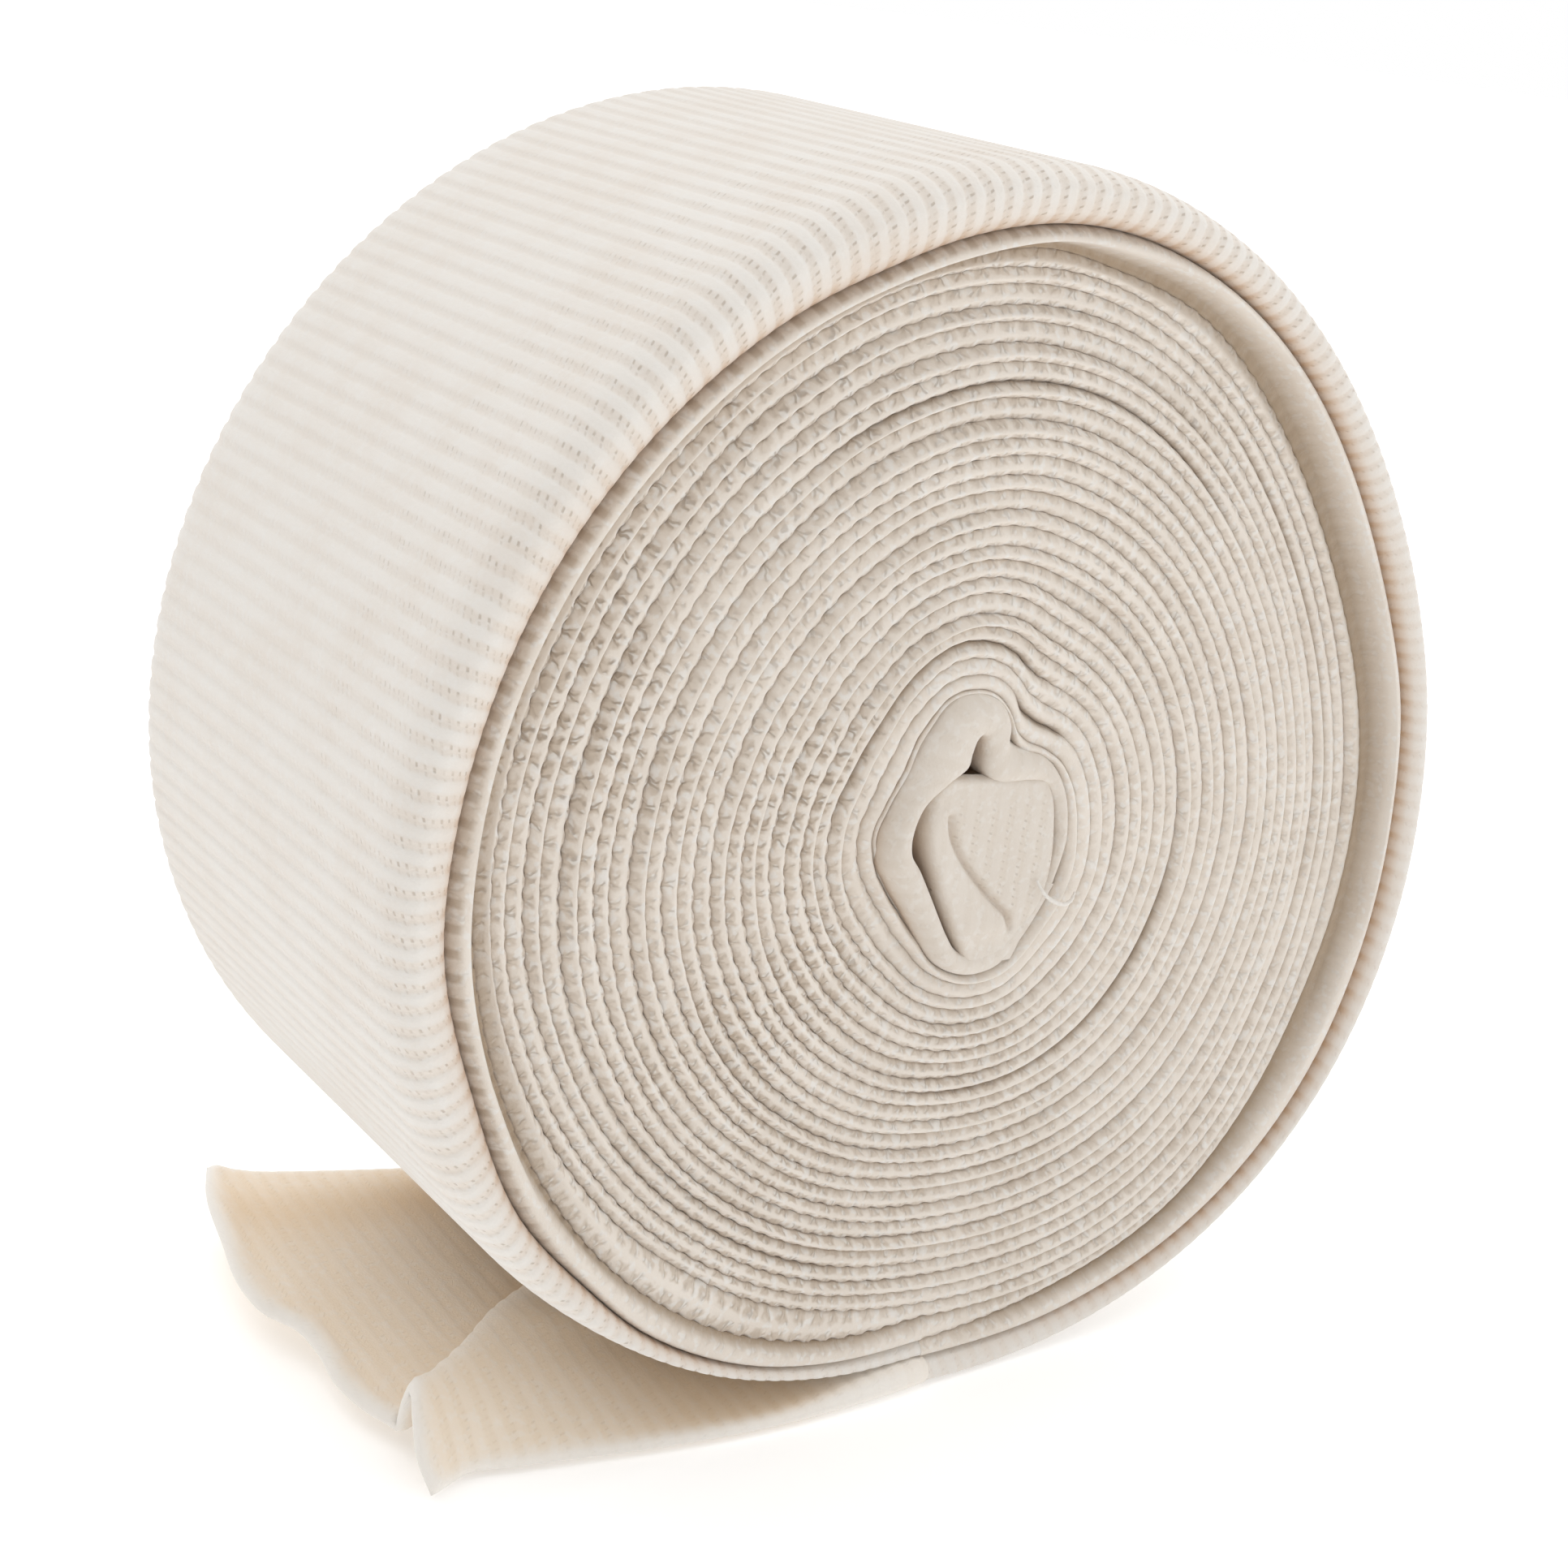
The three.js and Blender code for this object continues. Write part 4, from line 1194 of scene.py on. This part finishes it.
def studio_world(stage):
    """Even studio light, white at the horizon, dimmer on the camera's side and a little dimmer above."""
    world = bpy.data.worlds.new("studio")
    world.use_nodes = True
    tree = world.node_tree
    direction = add_node(tree, "ShaderNodeTexCoord")["Generated"]
    upwards = add_node(tree, "ShaderNodeSeparateXYZ", {0: direction})["Z"]
    away = add_node(tree, "ShaderNodeVectorMath", {0: direction, 1: FROM_CAMERA}, operation="DOT_PRODUCT")
    smooth = {"interpolation_type": "SMOOTHSTEP"}
    front = {"Value": away["Value"], "From Min": DIM_BELOW, "From Max": WHOLE_ABOVE}
    front.update({"To Min": stage.dim, "To Max": stage.sky})
    above = {"Value": upwards, "From Min": 0.05, "From Max": 0.9, "To Min": 1.0, "To Max": stage.zenith}
    parts = {
        0: add_node(tree, "ShaderNodeMapRange", front, **smooth)["Result"],
        1: add_node(tree, "ShaderNodeMapRange", above, **smooth)["Result"],
    }
    strength = add_node(tree, "ShaderNodeMath", parts, operation="MULTIPLY")
    background = tree.nodes["Background"]
    tree.links.new(strength[0], background.inputs["Strength"])
    background.inputs["Color"].default_value = (1, 1, 1, 1)
    return world


def broad_light(name, towards, strength, spread, colour):
    """A broad distant light that shines along a direction."""
    data = bpy.data.lights.new(name, "SUN")
    data.energy = strength
    data.angle = np.radians(spread)
    data.color = colour
    light = bpy.data.objects.new(name, data)
    light.rotation_euler = Vector(towards).to_track_quat("-Z", "Y").to_euler()
    bpy.context.scene.collection.objects.link(light)
    return light


class BANDAGE_OT_outer_turn(bpy.types.Operator):
    """Wind the outermost turn, with its ribbed outer surface and proud fold on both ends"""

    bl_idname = "bandage.outer_turn"
    bl_label = "Wind the outer turn"

    def execute(self, context):
        wind_outer_turn(cloth("surface"))
        return {"FINISHED"}


class BANDAGE_OT_turns(bpy.types.Operator):
    """Wind the second turn and the turns inside it, down to the core"""

    bl_idname = "bandage.turns"
    bl_label = "Wind the inner turns"

    def execute(self, context):
        roll, _, _ = settings()
        wind_turns("second_turn", START + 360, START + 720, 8, cloth("edges"))
        bounds = [2, 2 + 0.23 * roll.turns, 2 + 0.5 * roll.turns, roll.turns]
        for name, first, last in zip(["outer_turns", "middle_turns", "inner_turns"], bounds, bounds[1:]):
            wind_turns(name, START + 360 * first, START + 360 * last, 6, cloth("edges"))
        return {"FINISHED"}


class BANDAGE_OT_core(bpy.types.Operator):
    """Fold the inner end of the cloth at the core"""

    bl_idname = "bandage.core"
    bl_label = "Fold the core"

    def execute(self, context):
        fill_core(cloth("deep"))
        fold_core_band(cloth("folds"))
        fold_core_flap(cloth("folds"))
        lay_thread(cloth("surface"))
        return {"FINISHED"}


class BANDAGE_OT_loose_end(bpy.types.Operator):
    """Lay the loose end of the cloth under the roll"""

    bl_idname = "bandage.loose_end"
    bl_label = "Lay the loose end"

    def execute(self, context):
        lay_loose_end(cloth("loose"))
        return {"FINISHED"}


class BANDAGE_OT_stage(bpy.types.Operator):
    """Set the floor, the light and the camera"""

    bl_idname = "bandage.stage"
    bl_label = "Set the stage"

    def execute(self, context):
        _, _, stage = settings()
        scene = context.scene
        half = stage.floor / 2
        mesh = bpy.data.meshes.new("floor")
        corners = [(x * half, y * half, FLOOR_HEIGHT) for x, y in ((-1, -1), (1, -1), (1, 1), (-1, 1))]
        mesh.from_pydata(corners, [], [(0, 1, 2, 3)])
        paper = bpy.data.materials.new("white paper sweep")
        paper.use_nodes = True
        shader = paper.node_tree.nodes["Principled BSDF"]
        shader.inputs["Base Color"].default_value = (0.95, 0.95, 0.95, 1)
        shader.inputs["Roughness"].default_value = 0.9
        shader.inputs["Emission Color"].default_value = (1, 1, 1, 1)
        shader.inputs["Emission Strength"].default_value = 0.25
        mesh.materials.append(paper)
        floor = bpy.data.objects.new("floor", mesh)
        scene.collection.objects.link(floor)
        scene.world = studio_world(stage)
        broad_light("key", KEY_LIGHT["towards"], stage.key, KEY_LIGHT["spread"], KEY_LIGHT["colour"])
        data = bpy.data.cameras.new("camera")
        data.lens = LENS
        data.sensor_width = 36
        data.clip_start = 0.01
        camera = bpy.data.objects.new("camera", data)
        camera.matrix_world = camera_matrix()
        scene.collection.objects.link(camera)
        scene.camera = camera
        scene.view_settings.view_transform = "Standard"
        return {"FINISHED"}


class BANDAGE_PT_panel(bpy.types.Panel):
    """Buttons and sizes for the bandage roll"""

    bl_idname = "BANDAGE_PT_panel"
    bl_label = "Bandage roll"
    bl_space_type = "VIEW_3D"
    bl_region_type = "UI"
    bl_category = "Bandage"

    def draw(self, context):
        for group in settings():
            box = self.layout.box()
            for name in group.__annotations__:
                box.prop(group, name)
        for operator in OPERATORS:
            self.layout.operator(operator.bl_idname)


GROUPS = {"bandage_roll": RollSettings, "bandage_knit": KnitSettings, "bandage_stage": StageSettings}
OPERATORS = [
    BANDAGE_OT_outer_turn,
    BANDAGE_OT_turns,
    BANDAGE_OT_core,
    BANDAGE_OT_loose_end,
    BANDAGE_OT_stage,
]


def register():
    for made in [*GROUPS.values(), *OPERATORS, BANDAGE_PT_panel]:
        bpy.utils.register_class(made)
    for name, group in GROUPS.items():
        setattr(bpy.types.Scene, name, bpy.props.PointerProperty(type=group))


def unregister():
    for name in GROUPS:
        delattr(bpy.types.Scene, name)
    for made in reversed([*GROUPS.values(), *OPERATORS, BANDAGE_PT_panel]):
        bpy.utils.unregister_class(made)


def main():
    register()
    bpy.ops.bandage.outer_turn()
    bpy.ops.bandage.turns()
    bpy.ops.bandage.core()
    bpy.ops.bandage.loose_end()
    bpy.ops.bandage.stage()


if __name__ == "__main__":
    main()
